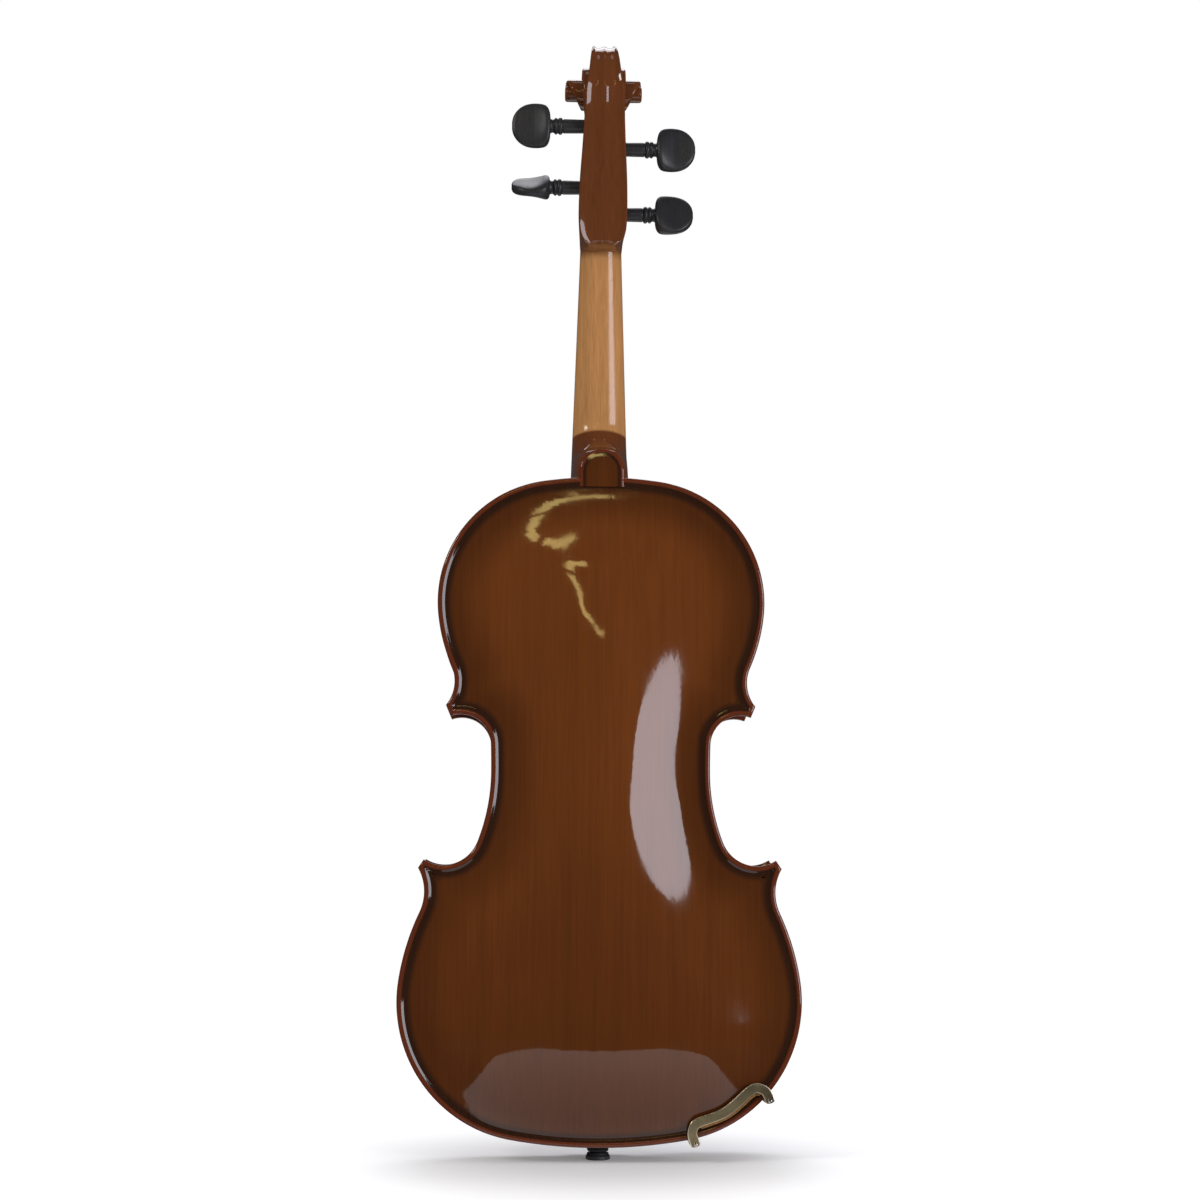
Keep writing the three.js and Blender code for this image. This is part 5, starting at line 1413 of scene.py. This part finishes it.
class VIOLA_OT_stage(bpy.types.Operator):
    """Sets the floor, the studio light and the camera."""
    bl_idname = "viola.stage"
    bl_label = "Stage"
    # Each lamp: its name, place, the height it is turned to, size, colour and power.
    LAMPS = (
        ("soft_box_right", (1.46, -1.42, 0.42), 0.3, (1.05, 0.9), (0.94, 0.92, 1.0), 20),
        ("soft_box_left", (-1.7, -1.2, 1.35), 0.35, (0.5, 0.5), (1.0, 0.97, 0.9), 12),
        ("top_light", (0.0, 1.3, 2.1), 0.4, (1.3, 1.0), (0.95, 0.94, 1.0), 13),
    )

    def execute(self, context):
        self.floor()
        self.surround()
        self.world(context.scene)
        for name, place, height, size, tint, power in self.LAMPS:
            lamp(name, place, (0, 0, height), size, tint, power)
        self.window()
        self.camera(context.scene)
        return {"FINISHED"}

    @staticmethod
    def shown(finish):
        """1 for the camera, for mirror reflections and through glass."""
        path = finish.node("ShaderNodeLightPath")
        total = path.outputs["Is Camera Ray"]
        for key in ("Is Glossy Ray", "Is Transmission Ray"):
            total = finish.math("MAXIMUM", total, path.outputs[key])
        return total

    def floor(self):
        """A pale sheet that glows towards its edges, so that it meets the white background, and
        glows less round the instrument's foot as a painted shadow.
        """
        half, middle = 0.6, 0.35
        ring = []
        for a, b in around(96):
            reach = half * (a ** 4 + b ** 4) ** -0.25
            ring.append((reach * a, middle + reach * b, 0))
        floor = new_object("floor", ring, [range(len(ring))], smooth=False)
        finish = Finish("pale floor")
        away = finish.node("ShaderNodeVectorMath", operation="LENGTH")
        finish.join(finish.coordinates(), away.inputs[0])
        # Less glow within 0.2 m of the middle: a painted shadow round the instrument's foot.
        lit = finish.range(away.outputs["Value"], 0.05, 0.2, 0.14, 0.4, True)
        glow = finish.times(self.shown(finish), lit)
        floor.data.materials.append(finish.surface(
            (0.9, 0.9, 0.92), 0.7, Specular_IOR_Level=0.1, Emission_Color=(1, 1, 1, 1),
            Emission_Strength=glow))

    @staticmethod
    def shine(panel, name, tint, strength):
        """Makes a panel a light that shows only in gloss."""
        panel.data.materials.append(Finish(name).surface(
            (0.02, 0.02, 0.022), 1, Emission_Color=tint, Emission_Strength=strength))
        for key in ("camera", "diffuse", "shadow", "transmission"):
            setattr(panel, "visible_" + key, False)

    def window(self):
        """A warm band of window light behind the camera, seen from the middle of the back."""
        centre, distance, half = np.array([0, -0.03, 0.37]), 2.5, 0.035
        # Its middle line as [degrees to the right, degrees up], and the window's bars as the
        # faces that are left out.
        line = [
            [2.6, 13.3], [0, 13.5], [-2, 15.2], [-4.5, 17.5], [-7.6, 20.2], [-6.6, 25.5],
            [-2.5, 26.8],
        ]
        bars = (9, 17)
        turn, rise = np.radians(through(line, 4)).T
        level = np.cos(rise)
        ahead = np.stack([np.sin(turn) * level, -np.cos(turn) * level, np.sin(rise)], axis=1)
        spots = centre + distance * ahead
        across = half * unit(np.cross(np.gradient(spots, axis=0), spots - centre))
        count = len(spots)
        faces = [(i, i + 1, count + i + 1, count + i) for i in range(count - 1) if i not in bars]
        band = np.concatenate([spots - across, spots + across])
        glow = new_object("window_light", band, faces, smooth=False)
        self.shine(glow, "window glow", (1.0, 0.78, 0.28, 1), 8.0)

    def surround(self):
        """Dark cards round the studio that only gloss reflects, as a photographer sets them."""
        # A tall ring of cards with a lid, as [radius, height].
        profile = ((4.5, -4.0), (4.5, 7.0), (1.0, 7.0))
        sides = 48
        vertices = [(reach * a, reach * b, up) for a, b in around(sides) for reach, up in profile]
        faces = []
        for i in range(0, 3 * sides, 3):
            j = (i + 3) % (3 * sides)
            faces += [(i + k, j + k, j + k + 1, i + k + 1) for k in (0, 1)]
        # Two low cards on the floor, whose inner edge bounds the bright floor that the lower end
        # of the back mirrors: [x, y] on one side. The right one is a little further out.
        shore = (
            (0.8, -0.3), (0.03, -0.3), (0.06, -0.245), (0.09, -0.21), (0.105, -0.17),
            (0.105, -0.12), (0.095, -0.07), (0.075, -0.02), (0.06, 0.05), (0.06, 0.3), (0.8, 0.3),
        )
        for side, shift in ((-1, 0.0), (1, 0.015)):
            faces.append(range(len(vertices), len(vertices) + len(shore)))
            vertices += [(side * x + shift, y, 0.001) for x, y in shore]
        cards = new_object("dark_cards", vertices, faces)
        self.shine(cards, "dark card", (0.9, 0.9, 1.0, 1), 0.03)

    def world(self, scene):
        """A white background that lights the room at about half its strength."""
        scene.world = bpy.data.worlds.new("studio")
        scene.world.use_nodes = True
        finish = Finish("", scene.world.node_tree)
        ground = finish.tree.nodes["Background"]
        ground.inputs["Color"].default_value = (1, 1, 1, 1)
        level = finish.range(self.shown(finish), 0, 1, 0.54, 1.0)
        finish.join(level, ground.inputs["Strength"])

    def camera(self, scene):
        """The camera as fitted to the photo: its place, its turns and its view."""
        place, focus = (-0.0562, -1.5162, 0.1879), 2453.75 / 1200
        yaw, pitch, roll = math.radians(2.12), math.radians(-5.78), math.radians(0.248)
        scene.view_settings.view_transform = "Standard"
        data = bpy.data.cameras.new("camera")
        data.sensor_width = 36
        data.sensor_fit = "HORIZONTAL"
        data.lens = 36 * focus
        made = bpy.data.objects.new("camera", data)
        level = math.cos(pitch)
        ahead = Vector((math.sin(yaw) * level, math.cos(yaw) * level, -math.sin(pitch)))
        right = Vector((math.cos(yaw), -math.sin(yaw), 0))
        up = right.cross(ahead)
        right, up = (right * math.cos(roll) + up * math.sin(roll),
                     up * math.cos(roll) - right * math.sin(roll))
        turn = Matrix((right, up, -ahead)).transposed()
        made.matrix_world = Matrix.Translation(place) @ turn.to_4x4()
        scene.collection.objects.link(made)
        scene.camera = made


class VIOLA_PT_panel(bpy.types.Panel):
    """Lists the viola's steps, sizes and colours."""
    bl_label = "Viola"
    bl_idname = "VIOLA_PT_panel"
    bl_space_type = "VIEW_3D"
    bl_region_type = "UI"
    bl_category = "Viola"

    def draw(self, context):
        column = self.layout.column()
        for step in STEPS:
            column.operator(step.bl_idname)
        for settings in (context.scene.viola_sizes, context.scene.viola_finish):
            for key in settings.bl_rna.properties.keys():
                if key not in ("rna_type", "name"):
                    column.prop(settings, key)


STEPS = (
    VIOLA_OT_finishes, VIOLA_OT_plates, VIOLA_OT_belly, VIOLA_OT_head, VIOLA_OT_pegs,
    VIOLA_OT_chin_rest, VIOLA_OT_stage,
)
CLASSES = (ViolaSizes, ViolaFinish, *STEPS, VIOLA_PT_panel)


def register():
    """Adds the classes and the settings to the program."""
    for each in CLASSES:
        bpy.utils.register_class(each)
    bpy.types.Scene.viola_sizes = PointerProperty(type=ViolaSizes)
    bpy.types.Scene.viola_finish = PointerProperty(type=ViolaFinish)


def unregister():
    """Takes them away again."""
    del bpy.types.Scene.viola_finish
    del bpy.types.Scene.viola_sizes
    for each in reversed(CLASSES):
        bpy.utils.unregister_class(each)


def main():
    """Registers, and runs every step in order."""
    register()
    for step in STEPS:
        group, name = step.bl_idname.split(".")
        getattr(getattr(bpy.ops, group), name)()


if __name__ == "__main__":
    main()
